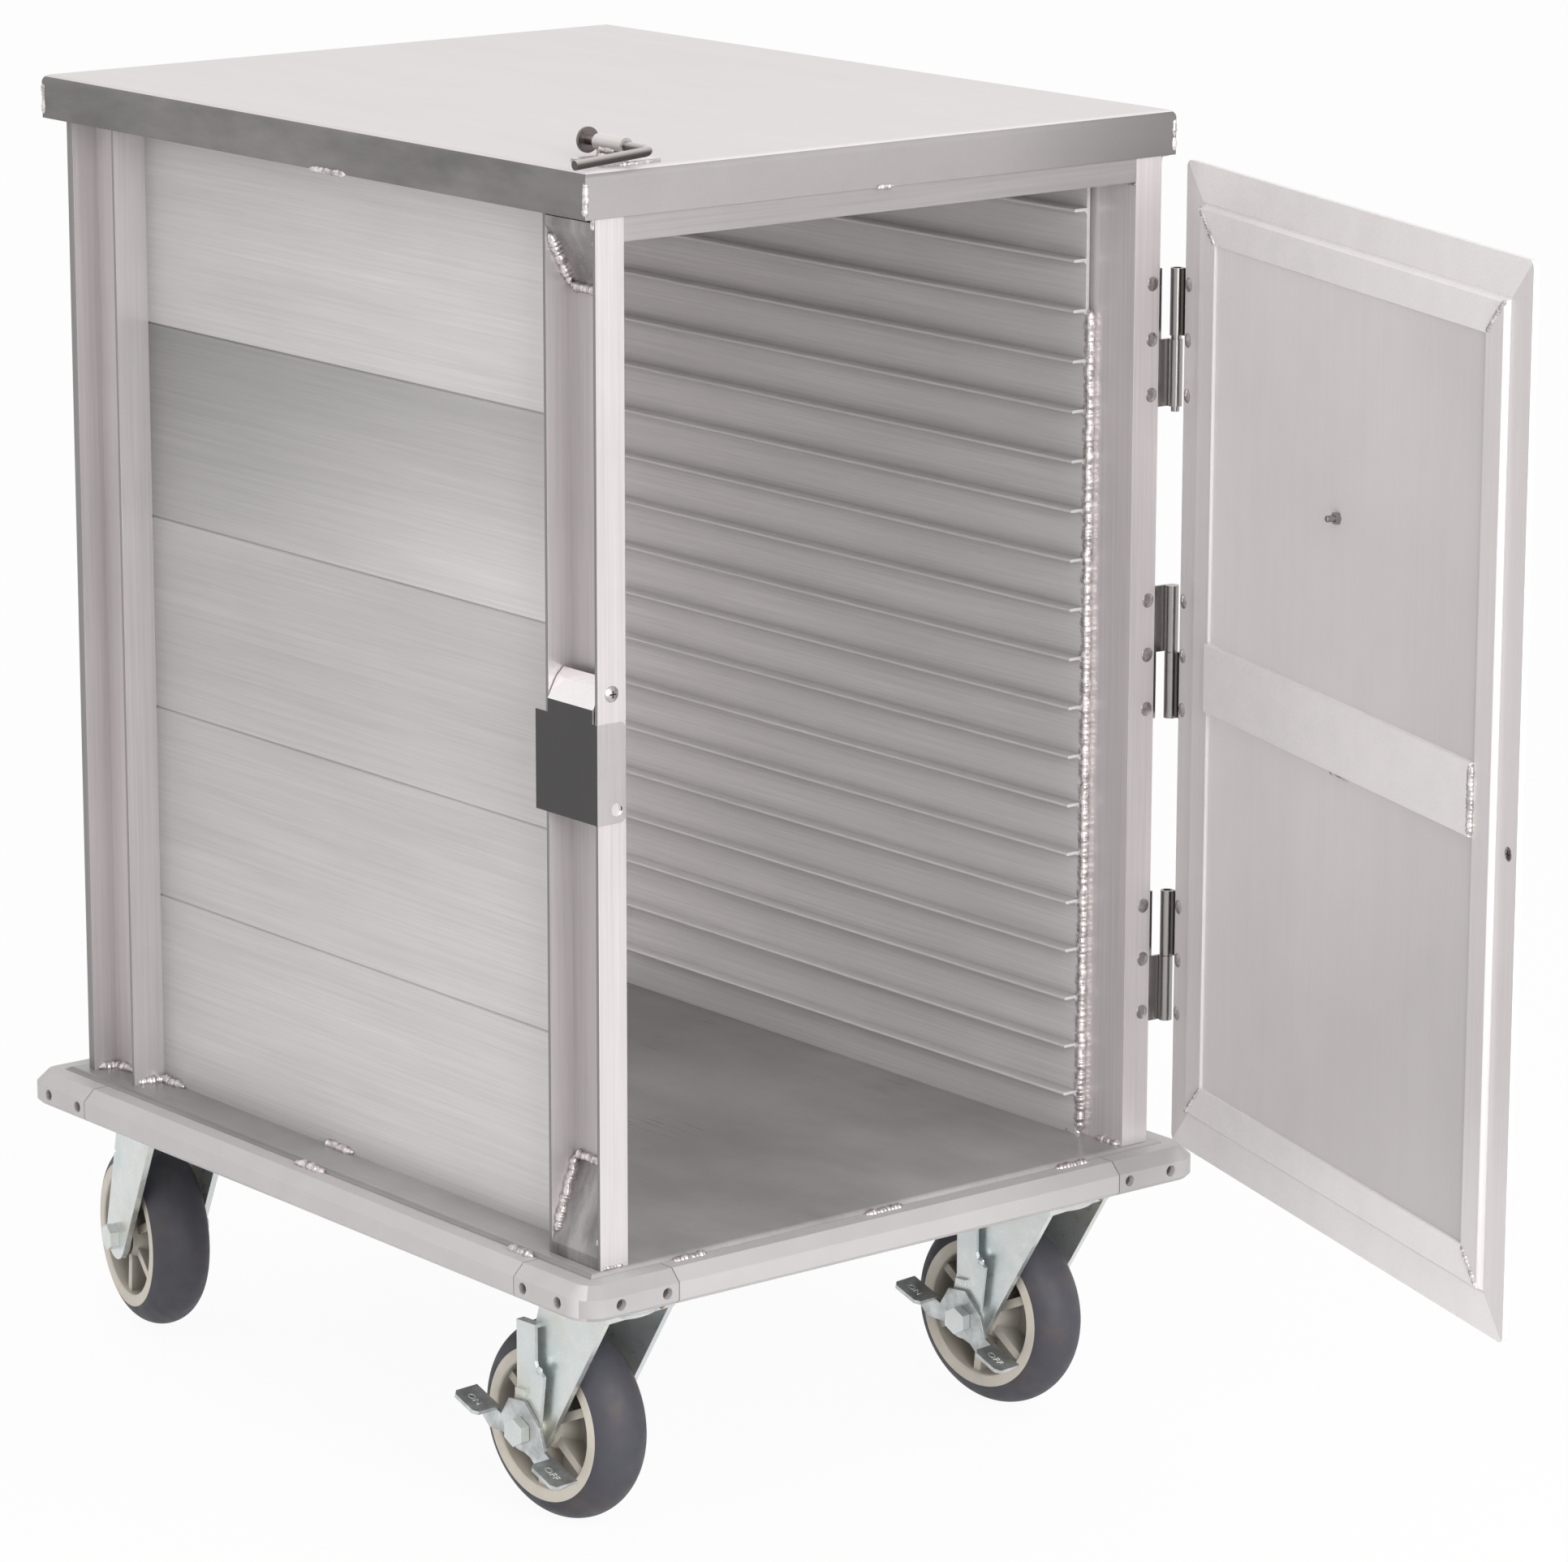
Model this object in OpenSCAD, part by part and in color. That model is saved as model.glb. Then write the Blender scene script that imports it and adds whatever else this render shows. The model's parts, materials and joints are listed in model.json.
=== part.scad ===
// Enclosed meal tray cart: welded cabinet with ledge walls, one hinged door, a bumper
// ring and four swivel casters, the front two with side brakes.
// Millimetres. Origin on the ground under the middle of the cabinet,
// +X to the right seen from the door side, +Y to the rear, +Z up.

/* [Cabinet] */
// Width across the outer planes of the corner posts
cabinet_w = 528; // [500:2:620]
// Front face of the front posts, ahead of the origin
front_y = 345.6; // [330:0.1:380]
// Rear face of the rear posts, behind the origin
rear_y = 327.3; // [310:0.1:370]
// Height of the cabinet floor above the ground
floor_z = 225; // [225:1:260]
// Height from the cabinet floor to the roof's upper face
cabinet_h = 797.1; // [790:0.1:900]
// Thickness of the rear panel
back_t = 2.5; // [1.5:0.1:4]
// Depth of the rear panel's side returns
back_return = 8; // [6:0.5:14]
// Height of the front header, from its lower edge to the underside of the roof
header_h = 49.2; // [40:0.1:70]
// Depth of the header's lower return
header_return = 17; // [10:1:30]

/* [Roof] */
// Thickness of the roof sheet
roof_t = 2.5; // [1.5:0.1:4]
// Height of the roof's folded rim
roof_rim_h = 33.6; // [25:0.1:45]
// Overhang of the rim past the posts at the sides
roof_side = 11; // [5:0.5:20]
// Overhang of the rim's inner face past the posts at the front
roof_front = 0.9; // [0.5:0.1:3.5]
// Overhang of the rim past the posts at the rear
roof_rear = 21.7; // [14:0.1:30]
// Radius of the fold round the roof's edge
roof_r = 6; // [4:0.5:10]

/* [Corner posts] */
// Depth of a post from its face to the back of its fin
post_d = 61; // [50:1:75]
// Wall thickness of a post
post_t = 3; // [2:0.1:4]
// Width of the post's face flange
post_flange = 25; // [22:0.5:28]
// Width of the post's fin, from the outer plane to the side wall
post_fin = 28.4; // [28.4:0.1:36]
// Height of the gussets at the foot of the posts
gusset_low_h = 63; // [40:1:90]
// Height of the gussets at the head of the posts
gusset_top_h = 45; // [30:1:70]
// Thickness of a gusset
gusset_t = 3; // [2:0.1:4]

/* [Side walls] */
// Thickness of a side wall
wall_t = 3; // [2.5:0.1:4]
// Distance of a side wall's edges from the posts' faces
wall_lap = 47.3; // [30:0.1:56]
// Height of one wall plank
plank_h = 152.4; // [114.3:38.1:190.5]
// Spacing of the tray ledges
ledge_pitch = 38.1; // [30:0.1:60]
// Depth of a tray ledge
ledge_d = 12.4; // [8:0.1:18]
// Thickness of a tray ledge
ledge_t = 2.4; // [2:0.1:4]
// Height of the lowest ledge's upper face above the cabinet floor
ledge_first = 35.7; // [25:0.1:60]
// Depth of the groove at each plank seam
seam_d = 1.1; // [0.5:0.1:1.5]

/* [Deck and base frame] */
// Width of the deck
deck_w = 552; // [540:1:660]
// Depth of the deck from front to rear
deck_d = 700; // [690:1:790]
// Thickness of the deck sheet
deck_t = 3; // [2:0.1:4]
// Depth of the fold round the deck
deck_fold = 21; // [15:1:26]
// Radius of the deck's fold
deck_r = 6; // [4:0.5:8]
// Height of the base frame channel
frame_h = 25; // [22:1:30]
// Width of the base frame's flanges
frame_flange = 38; // [25:1:60]
// Wall thickness of the base frame
frame_t = 3; // [2:0.1:4]
// Thickness of the corner pads over the casters
pad_t = 6; // [5:0.5:9]

/* [Bumper] */
// Distance that the bumper stands out from the deck
bumper_w = 22.5; // [16:0.5:34]
// Height of the bumper
bumper_h = 25.4; // [24:0.1:28]
// Size of the chamfer along the bumper's upper edge
bumper_chamfer = 9; // [4:0.5:12]
// Length of a bumper corner piece along each side
bumper_leg = 63.5; // [56:0.5:90]
// Inset of the outer screw of each corner leg from the deck's corner
screw_a = 10.5; // [8:0.5:16]
// Inset of the inner screw of each corner leg
screw_b = 52.5; // [36:0.5:54]
// Diameter of the bumper's screw holes
bumper_hole = 8.6; // [7:0.1:10]

/* [Casters] */
// Wheel diameter
wheel_d = 152.4; // [140:0.1:156]
// Wheel width
wheel_w = 49; // [40:0.5:52]
// Distance from the swivel axis to the axle
trail = 48.5; // [38:0.5:52]
// Inset of the swivels from the deck's sides
caster_in_x = 63; // [62:0.5:80]
// Inset of the swivels from the deck's front and rear
caster_in_y = 61.2; // [60:0.1:90]
// Width of the caster's top plate
plate_x = 114.3; // [110:0.1:116]
// Depth of the caster's top plate
plate_y = 101.6; // [96:0.1:110]
// Thickness of the caster's top plate
plate_t = 6; // [4:0.5:8]
// Bolt spacing across the top plate
bolt_x = 85.8; // [82:0.1:88]
// Bolt spacing along the top plate
bolt_y = 76.2; // [70:0.1:80]
// Thickness of the fork's steel
fork_t = 5; // [4:0.5:6]
// Gap between a fork leg and the wheel
fork_gap = 4.5; // [3:0.5:7]
// Axle diameter
axle_d = 12.7; // [10:0.1:14]

/* [Door] */
// Reach of the closed door past the posts at each side
door_lap = 3; // [2:0.1:4]
// Gap between the closed door and the posts
door_gap = 2.4; // [2.4:0.1:4]
// Gap between the door and the cabinet floor's level
door_low = 2.2; // [2:0.1:6]
// Gap between the door and the roof's rim
door_top = 2.5; // [2:0.1:6]
// Opening angle of the door as it stands
door_open = 73.3; // [0:0.1:110]
// Thickness of the door frame's edge flange
door_flange = 4.2; // [3:0.1:5]
// Depth of the frame outside the edge flange's inner face
door_out = 5.9; // [5.5:0.1:6.2]
// Height of the frame's raised inner band
door_band = 4.4; // [3.6:0.1:5]
// Width of the door frame
door_frame = 57; // [50:0.5:70]
// Distance of the raised band from the door's edge
door_step = 30; // [29:0.5:34]
// Thickness of the door's skin
door_skin = 1.6; // [1:0.1:2]
// Width of the door's middle rail
mid_rail_w = 52.5; // [40:0.5:70]
// Thickness of the door's middle rail
mid_rail_t = 5.2; // [4.4:0.1:8]
// Height of the middle rail's centre above the cabinet floor
mid_rail_z = 378.8; // [300:0.1:450]
// Height of the door bolt above the cabinet floor
door_bolt_z = 537.3; // [480:0.1:640]

/* [Hinges] */
// Distance of the hinge axis from the posts' outer plane
pin_out = 16; // [16:0.1:20]
// Distance of the hinge axis ahead of the posts' face
pin_ahead = 1.7; // [1.5:0.1:2.5]
// Diameter of the hinge knuckles
knuckle_d = 10.2; // [9:0.1:11]
// Length of a hinge knuckle
knuckle_l = 51; // [40:0.5:60]
// Diameter of the hinge pins
hinge_pin_d = 6.4; // [5:0.1:7]
// Thickness of a hinge leaf
leaf_t = 2.5; // [1.5:0.1:2.5]
// Spacing of the rivets in a hinge leaf
rivet_pitch = 42; // [36:0.5:48]
// Diameter of a rivet head
rivet_head = 11; // [9:0.1:12]
// Diameter of a rivet shank
rivet_d = 4.8; // [4:0.1:5.5]
// Height of the hinge centres above the cabinet floor, from the top down
hinge_z = [625.6, 384.5, 146.5];
// Gap between the two knuckles of each hinge, from the top down
knuckle_gap = [2.8, 0.5, 0.5];

/* [Strike plate] */
// Height of the strike plate above the cabinet floor
strike_up = 330.6; // [250:0.1:420]
// Height of the strike plate
strike_h = 73.4; // [60:0.1:90]
// Depth of the strike plate beside the post
strike_len = 73.1; // [64:0.1:80]

/* [Rod latch] */
// Distance of the rod latch from the middle of the cabinet
rod_x = 224; // [200:1:235]
// Diameter of the latch rod
rod_d = 7; // [6:0.1:8]
// Length of the latch rod's turned leg
rod_leg = 67; // [50:1:80]
// Outer diameter of the latch tube
rod_tube_d = 12; // [11:0.1:14]
// Length of the latch tube
rod_tube_l = 32; // [24:1:40]
// Height of the rod's axis above the roof
rod_z = 11.9; // [10:0.1:14]
// Travel of the rod
rod_travel = 11; // [8:0.5:14]
// Angle by which the turned leg hangs below level
rod_droop = 4; // [0:1:15]

/* [Hidden] */
$fn = 48;
run_gap = 0.06;   // radial clearance of a shaft that turns in a bore
seat_gap = 0.3;   // clearance of a face that moves past another
eps = 0.01;

roof_top = floor_z + cabinet_h;
roof_low = roof_top - roof_t;
rim_z = roof_top - roof_rim_h;
half_w = cabinet_w / 2;
wall_in = half_w - post_fin - wall_t;
wall_h = roof_low - floor_z;
wall_y0 = -front_y + wall_lap;
wall_y1 = rear_y - wall_lap;
ledge_n = floor((wall_h - ledge_first) / ledge_pitch) + 1;
seam_n = floor(wall_h / plank_h);
header_z = roof_low - header_h;
roof_in_r = max(roof_r - roof_t, 0.5);      // inner radius of the roof's fold
roof_in_run = max(roof_in_r - roof_front, 0);              // reach of the front fold over the posts
roof_side_run = max(roof_in_r - roof_side + roof_t, 0);    // reach of the side folds over the posts
fold_relief = 0.1;

deck_low = floor_z - deck_t;
deck_in_r = max(deck_r - deck_t, 0.5);      // inner radius of the deck's fold
frame_x = deck_w / 2 - deck_t - seat_gap;
frame_y = deck_d / 2 - deck_t - seat_gap;
frame_z = deck_low - frame_h;
bumper_z = frame_z;
screw_z = bumper_z + 10;
screw_d = 5;
screw_head_h = 3;
screw_sink = 8;

caster_x = deck_w / 2 - caster_in_x;
caster_y = deck_d / 2 - caster_in_y;
wheel_r = wheel_d / 2;
plate_z = frame_z - plate_t;
race_z = plate_z - 5;
race_r = 45;
crown_z = race_z - 11;
leg_in = wheel_w / 2 + fork_gap;
leg_out = leg_in + fork_t;
boss_r = 19;
stem_r = 9;
stem_head = 6;
rim_r = wheel_r - 17.2;
tread_r = 26.05;
axle_head = 8;
axle_af = 19;
bolt_r = 4;
bolt_af = 13;
bolt_head = 5.6;
washer_t = 1.6;
washer_r = 9;
hub_r = 24;
spoke_n = 6;
spoke_w = 7;
ring_w = 9.5;
strap_t = 3;
strap_o = leg_out + 4.3;         // inner face of the brake strap
cam_o = strap_o + strap_t + seat_gap;
cam_t = 3;
pad_w = 21;

CASTERS = [[-1, -1, 4.76, true], [1, -1, 6.65, true], [-1, 1, -11.9, false], [1, 1, -8, false]];

door_w = cabinet_w + 2 * door_lap;
door_face_y = front_y + door_gap;
door_z0 = floor_z + door_low;
door_h = rim_z - door_top - door_z0;
pin_x = half_w + pin_out;
pin_y = -front_y - pin_ahead;
knuckle_r = knuckle_d / 2;
hinge_pin_r = hinge_pin_d / 2;
hinge_edge = pin_x - door_w / 2;   // from the pin to the door's edge
leaf_w = 19;
leaf_strip = 5;
rivet_r = rivet_d / 2;
rivet_in = 5.5;
rivet_rise = 1.1;
rivet_tail = 1.5;
door_on_top = [true, false, true];
slot_depth = 8.5;
skin_n = door_band - 2.2 - door_skin;  // outer face of the skin
screw_p = door_w - 12.1;
pull_z = 348.2;
pull_screw_rise = 0.5;             // low head that passes the strike plate
bolt_p = door_w / 2 - 5;
door_corner = 6;

rod_axis = roof_top + rod_z;
rod_r = rod_d / 2;
tube_y0 = -front_y + 16.6;          // front end of the latch tube
tube_y1 = tube_y0 + rod_tube_l;
disc_r = 9.25;
disc_t = 2.2;
disc_y = tube_y1 + rod_travel + 0.5;
leg_y = -front_y - 12.4;
bend_r = 7;
latch_base_t = 2.5;

strike_t = 1.5;
strike_z0 = floor_z + strike_up;
strike_neck = 10;
strike_screw_up = 20.6;             // strike screw above the side plate

// ---------- helpers ----------

// Rectangle w x h standing on the X axis, with round upper corners
module arch_plate(w, h, r) {
    translate([-w / 2, 0]) square([w, h - r]);
    translate([-w / 2 + r, 0]) square([w - 2 * r, h]);
    for (s = [-1, 1]) translate([s * (w / 2 - r), h - r]) circle(r);
}

// Rectangle from the origin with four round corners
module round_rect(w, h, r) {
    translate([r, 0]) square([w - 2 * r, h]);
    translate([0, r]) square([w, h - 2 * r]);
    for (x = [r, w - r], y = [r, h - r]) translate([x, y]) circle(r);
}

// Extrudes a section drawn in X and Z along Y, from y0 to y1
module along_y(y0, y1) {
    translate([0, y1, 0]) rotate([90, 0, 0]) linear_extrude(y1 - y0) children();
}

// Extrudes a section drawn in Y and Z along X, from x0 to x1
module along_x(x0, x1) {
    translate([x0, 0, 0]) rotate([90, 0, 90]) linear_extrude(x1 - x0) children();
}

// Block with its upper edges rolled over, between y0 and y1
module folded_block(w, y0, y1, h, r) {
    d = y1 - y0;
    intersection() {
        along_y(y0, y1) arch_plate(w, h, r);
        translate([0, (y0 + y1) / 2, 0]) along_x(-w / 2, w / 2) arch_plate(d, h, r);
    }
}

// Inverted tray: a folded sheet with its rims hanging down
module folded_pan(w, y0, y1, h, r, t) {
    difference() {
        folded_block(w, y0, y1, h, r);
        translate([0, 0, -1]) folded_block(w - 2 * t, y0 + t, y1 - t, h - t + 1, max(r - t, 0.5));
    }
}

// Low dome of radius r and height h on the XY plane
module dome(r, h) {
    ball = (r * r + h * h) / (2 * h);
    intersection() {
        translate([0, 0, h - ball]) sphere(ball, $fn = 96);
        cylinder(r = r + 1, h = h + 1);
    }
}

module hex(af, h) { cylinder(d = af / cos(30), h = h, $fn = 6); }

// Cylinder along +X from x0 to x1
module rod_x_dir(r, x0, x1) { translate([x0, 0, 0]) rotate([0, 90, 0]) cylinder(r = r, h = x1 - x0); }

// ---------- cabinet ----------

module roof_pan() {
    color("gainsboro") translate([0, 0, rim_z])
        folded_pan(cabinet_w + 2 * roof_side, -front_y - roof_front - roof_t, rear_y + roof_rear,
            roof_rim_h, roof_r, roof_t);
}

// Open channel: face flange, web and fin, drawn from the outer corner inwards
module post_section() {
    square([post_flange, post_t]);
    translate([post_flange - post_t, 0]) square([post_t, post_d]);
    translate([0, post_d - post_t]) square([post_fin, post_t]);
}

module post(right, rear) {
    mirror([right ? 1 : 0, 0, 0]) mirror([0, rear ? 1 : 0, 0])
        translate([-half_w, rear ? -rear_y : -front_y, floor_z])
            linear_extrude(wall_h) post_section();
}

// Lower end of the bevel that clears the inside of a fold reaching run over the posts
function fold_low(run) = roof_low - fold_relief - roof_in_r + sqrt(pow(roof_in_r, 2) - pow(run, 2));

// Bevel that clears the inside of the roof's front fold
module roof_fold_cut() {
    along_x(-half_w - 1, half_w + 1) polygon([[-front_y - 1, fold_low(roof_in_run)],
        [-front_y, fold_low(roof_in_run)], [-front_y + roof_in_run + fold_relief, roof_low],
        [-front_y + roof_in_run + fold_relief, roof_low + 1], [-front_y - 1, roof_low + 1]]);
}

// The same at the sides, where the overhang is short enough for the fold to reach the posts
module roof_side_cuts() {
    run = roof_side_run + fold_relief;
    if (roof_side_run > 0) for (m = [0, 1]) mirror([m, 0, 0]) along_y(-front_y - 1, rear_y + back_return + 1)
        polygon([[half_w + 1, fold_low(roof_side_run)], [half_w, fold_low(roof_side_run)],
            [half_w - run, roof_low], [half_w - run, roof_low + 1], [half_w + 1, roof_low + 1]]);
}

module post_front_left() {
    color("silver") difference() {
        post(false, false);
        strike_screw_shape(screw_d / 2 + 0.1, 0);
        roof_fold_cut();
        roof_side_cuts();
    }
}

module post_front_right() {
    color("silver") difference() {
        post(true, false);
        post_rivet_holes();
        roof_fold_cut();
        roof_side_cuts();
    }
}

module rear_post(right) {
    color("silver") difference() {
        post(right, true);
        roof_side_cuts();
    }
}

module post_rear_left() { rear_post(false); }
module post_rear_right() { rear_post(true); }

// Wall section: planks with a groove at each seam outside and ledges inside
module wall_section() {
    difference() {
        square([wall_t, wall_h]);
        for (i = [1 : seam_n])
            translate([wall_t, i * plank_h]) rotate(45) square(seam_d * sqrt(2), center = true);
    }
    for (i = [0 : ledge_n - 1]) translate([0, ledge_first + i * ledge_pitch]) {
        translate([-ledge_d + ledge_t / 2, -ledge_t]) square([ledge_d, ledge_t]);
        translate([-ledge_d + ledge_t / 2, -ledge_t / 2]) circle(d = ledge_t);
        polygon([[0.1, -ledge_t + eps], [-2.4, -ledge_t + eps], [0.1, -ledge_t - 2.4]]);
    }
}

module side_wall(right) {
    mirror([right ? 0 : 1, 0, 0]) translate([wall_in, 0, floor_z]) along_y(wall_y0, wall_y1)
        wall_section();
}

module side_wall_left() { color("gainsboro") side_wall(false); }
module side_wall_right() { color("gainsboro") side_wall(true); }

module front_header() {
    w = cabinet_w - 2 * post_flange;
    color("silver") difference() {
        translate([-w / 2, -front_y, header_z]) {
            cube([w, post_t, header_h]);
            cube([w, header_return, post_t]);
        }
        roof_fold_cut();
    }
}

// Rear sheet with its side edges turned outwards
module rear_panel() {
    w = cabinet_w - 4;
    color("gainsboro") difference() {
        translate([-w / 2, rear_y, floor_z]) {
            cube([w, back_t, wall_h]);
            for (x = [0, w - back_t]) translate([x, 0, 0]) cube([back_t, back_return, wall_h]);
        }
        roof_side_cuts();
    }
}

// Slanted plate across a post's channel, from the outer plane to the web
module gusset(z_out, z_in) {
    web = post_flange - post_t;
    lean = gusset_t * sqrt(1 + pow((z_in - z_out) / web, 2));
    side = z_in > z_out ? 1 : -1;
    along_y(post_t, post_d - post_t)
        polygon([[0, z_out], [web, z_in], [web, z_in + side * lean], [0, z_out + side * lean]]);
}

module gussets() {
    color("silver") for (mx = [0, 1], my = [0, 1])
        mirror([mx, 0, 0]) mirror([0, my, 0])
            translate([-half_w, my ? -rear_y : -front_y, 0]) {
                gusset(floor_z + eps, floor_z + gusset_low_h);
                gusset(rim_z - 3, rim_z - 3 - gusset_top_h);
            }
}

// ---------- base ----------

module deck() {
    color("darkgray") translate([0, 0, floor_z - deck_fold])
        folded_pan(deck_w, -deck_d / 2, deck_d / 2, deck_fold, deck_r, deck_t);
}

// Swivel positions: children are placed at each one, in the cart's directions
module at_casters() {
    for (c = CASTERS) translate([c[0] * caster_x, c[1] * caster_y, 0]) children();
}

module at_bolts() {
    at_casters() for (x = [-1, 1], y = [-1, 1]) translate([x * bolt_x / 2, y * bolt_y / 2, 0])
        children();
}

// Channel ring under the deck, rounded to its fold, with a thick pad over each caster
module base_frame() {
    color("silver") difference() {
        union() {
            difference() {
                translate([0, 0, frame_z])
                    folded_block(2 * frame_x, -frame_y, frame_y, frame_h, deck_in_r);
                translate([-frame_x + frame_t, -frame_y + frame_t, frame_z + frame_t])
                    cube([2 * (frame_x - frame_t), 2 * (frame_y - frame_t), frame_h - 2 * frame_t]);
                translate([-frame_x + frame_flange, -frame_y + frame_flange, frame_z - 1])
                    cube([2 * (frame_x - frame_flange), 2 * (frame_y - frame_flange), frame_h + 2]);
            }
            pad_x = frame_x - caster_x + plate_x / 2 + 4;
            pad_y = frame_y - caster_y + plate_y / 2 + 8;
            for (mx = [0, 1], my = [0, 1]) mirror([mx, 0, 0]) mirror([0, my, 0])
                translate([frame_x - pad_x, frame_y - pad_y, frame_z]) cube([pad_x, pad_y, pad_t]);
        }
        at_bolts() translate([0, 0, frame_z - 1]) cylinder(r = bolt_r + 0.5, h = pad_t + 2);
    }
}

// Bumper outline: u runs outwards from the deck's edge
module bumper_section() {
    polygon([[0, 0], [bumper_w - 3, 0], [bumper_w, 3], [bumper_w, bumper_h - bumper_chamfer],
        [bumper_w - bumper_chamfer, bumper_h], [0, bumper_h]]);
}

module bumper_rails() {
    lx = deck_w / 2 - bumper_leg;
    ly = deck_d / 2 - bumper_leg;
    color("lightgray") translate([0, 0, bumper_z]) {
        for (m = [0, 1]) mirror([m, 0, 0]) translate([deck_w / 2, 0, 0]) along_y(-ly, ly) bumper_section();
        for (m = [0, 1]) mirror([0, m, 0]) translate([0, deck_d / 2, 0]) along_x(-lx, lx) bumper_section();
    }
}

// Screw axes of one corner piece, pointing outwards along +Z
module at_corner_screws() {
    for (d = [screw_a, screw_b]) {
        translate([0, -d, 10]) rotate([0, 90, 0]) children();
        translate([-d, 0, 10]) rotate([-90, 0, 0]) children();
    }
}

// Corner piece round the deck's corner, drawn for the right rear corner
module bumper_corner_shape() {
    difference() {
        union() {
            rotate_extrude(angle = 90, $fn = 96) bumper_section();
            along_y(-bumper_leg, 0) bumper_section();
            mirror([1, -1, 0]) along_y(-bumper_leg, 0) bumper_section();
        }
        at_corner_screws() {
            translate([0, 0, bumper_w - screw_sink]) cylinder(d = bumper_hole, h = screw_sink + 1);
            translate([0, 0, -1]) cylinder(d = screw_d + 0.2, h = bumper_w);
        }
    }
}

module at_corner(right, rear) {
    mirror([right ? 0 : 1, 0, 0]) mirror([0, rear ? 0 : 1, 0])
        translate([deck_w / 2, deck_d / 2, bumper_z]) children();
}

module bumper_corner_fl() { color("lightgray") at_corner(false, false) bumper_corner_shape(); }
module bumper_corner_fr() { color("lightgray") at_corner(true, false) bumper_corner_shape(); }
module bumper_corner_rl() { color("lightgray") at_corner(false, true) bumper_corner_shape(); }
module bumper_corner_rr() { color("lightgray") at_corner(true, true) bumper_corner_shape(); }

module bumper_screws() {
    color("dimgray") for (right = [false, true], rear = [false, true]) at_corner(right, rear)
        at_corner_screws() difference() {
            union() {
                cylinder(d = screw_d, h = bumper_w - screw_sink + screw_head_h);
                translate([0, 0, bumper_w - screw_sink]) cylinder(d = bumper_hole - 0.4, h = screw_head_h);
            }
            translate([0, 0, bumper_w - screw_sink + 1.2]) hex(4, screw_head_h);
        }
}

// ---------- casters ----------

// Top plate with its raceway and the stem that carries the fork
module caster_plates() {
    color("lightsteelblue") difference() {
        at_casters() {
            translate([-plate_x / 2, -plate_y / 2, plate_z]) linear_extrude(plate_t)
                round_rect(plate_x, plate_y, 5);
            translate([0, 0, race_z + seat_gap]) rotate_extrude($fn = 96) polygon([[0, 0],
                [race_r - 2, 0], [race_r, 2], [race_r - 1, plate_z - race_z - seat_gap], [0, plate_z - race_z - seat_gap]]);
            translate([0, 0, crown_z - seat_gap]) cylinder(r = stem_r, h = plate_z - crown_z);
            translate([0, 0, crown_z - seat_gap - stem_head]) cylinder(r1 = stem_r + 2, r2 = stem_r + 5, h = stem_head);
        }
        at_bolts() translate([0, 0, plate_z - 1]) cylinder(r = bolt_r + 0.5, h = plate_t + 2);
    }
}

module caster_bolts() {
    nut_z = frame_z + pad_t;
    color("lightsteelblue") at_bolts() {
        translate([0, 0, plate_z - washer_t - bolt_head]) hex(bolt_af, bolt_head);
        translate([0, 0, plate_z - washer_t]) cylinder(r = washer_r, h = washer_t);
        translate([0, 0, plate_z - eps]) cylinder(r = bolt_r, h = nut_z - plate_z + 9);
        translate([0, 0, nut_z]) hex(bolt_af, 6.5);
    }
}

// Places a caster's moving parts: +Y is the trailing direction
module at_swivel(i) {
    c = CASTERS[i];
    translate([c[0] * caster_x, c[1] * caster_y, 0]) rotate([0, 0, c[2]]) children();
}

// Places children on the axle, with their X along it
module at_axle(i) { at_swivel(i) translate([0, trail, wheel_r]) children(); }

// Point where the line from p touches a circle of radius r at c, on one side
function touch(p, c, r, side) =
    let (d = norm(c - p), a = atan2(c[1] - p[1], c[0] - p[0]), b = asin(r / d))
    p + sqrt(d * d - r * r) * [cos(a + side * b), sin(a + side * b)];

// Leg outline in trail direction and height
module leg_section() {
    axle = [trail, wheel_r];
    front = [-34, crown_z + 2];
    rear = [38, crown_z + 2];
    difference() {
        union() {
            polygon([front, rear, touch(rear, axle, boss_r, 1), axle, touch(front, axle, boss_r, -1)]);
            translate(axle) circle(boss_r);
        }
        translate([trail + 3, crown_z - 26]) polygon([[-9, 0], [6, -7], [6, 7]]);
        translate(axle) circle(d = axle_d + 0.2);
    }
}

// Swivel fork: lower raceway, crown and two tapering legs
module fork(i) {
    color("lightsteelblue") at_swivel(i) {
        difference() {
            union() {
                translate([-leg_out, -34, crown_z]) cube([2 * leg_out, 72, fork_t + 1]);
                translate([0, 0, crown_z]) rotate_extrude($fn = 96) polygon([[0, 0], [race_r - 8, 0],
                    [race_r - 4, 4], [race_r - 1, 6], [race_r - 1, 9], [race_r - 3, race_z - crown_z], [0, race_z - crown_z]]);
            }
            translate([0, 0, crown_z - 1]) cylinder(r = stem_r + run_gap, h = race_z - crown_z + 2);
        }
        for (x = [-leg_out, leg_in]) translate([x, 0, 0])
            rotate([90, 0, 90]) linear_extrude(fork_t) leg_section();
    }
}

module fork_fl() { fork(0); }
module fork_fr() { fork(1); }
module fork_rl() { fork(2); }
module fork_rr() { fork(3); }

// Axle bolt with its nut; on a braked caster it also carries the strap and the pedal
module axle(i) {
    seat = CASTERS[i][3] ? cam_o + cam_t + seat_gap : leg_out;
    color("lightsteelblue") at_axle(i) {
        rod_x_dir(axle_d / 2, -seat - 1, leg_out + 11);
        translate([-seat - axle_head, 0, 0]) rotate([0, 90, 0]) hex(axle_af, axle_head);
        translate([leg_out, 0, 0]) rotate([0, 90, 0]) hex(axle_af, 9);
    }
}

module axle_fl() { axle(0); }
module axle_fr() { axle(1); }
module axle_rl() { axle(2); }
module axle_rr() { axle(3); }

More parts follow.
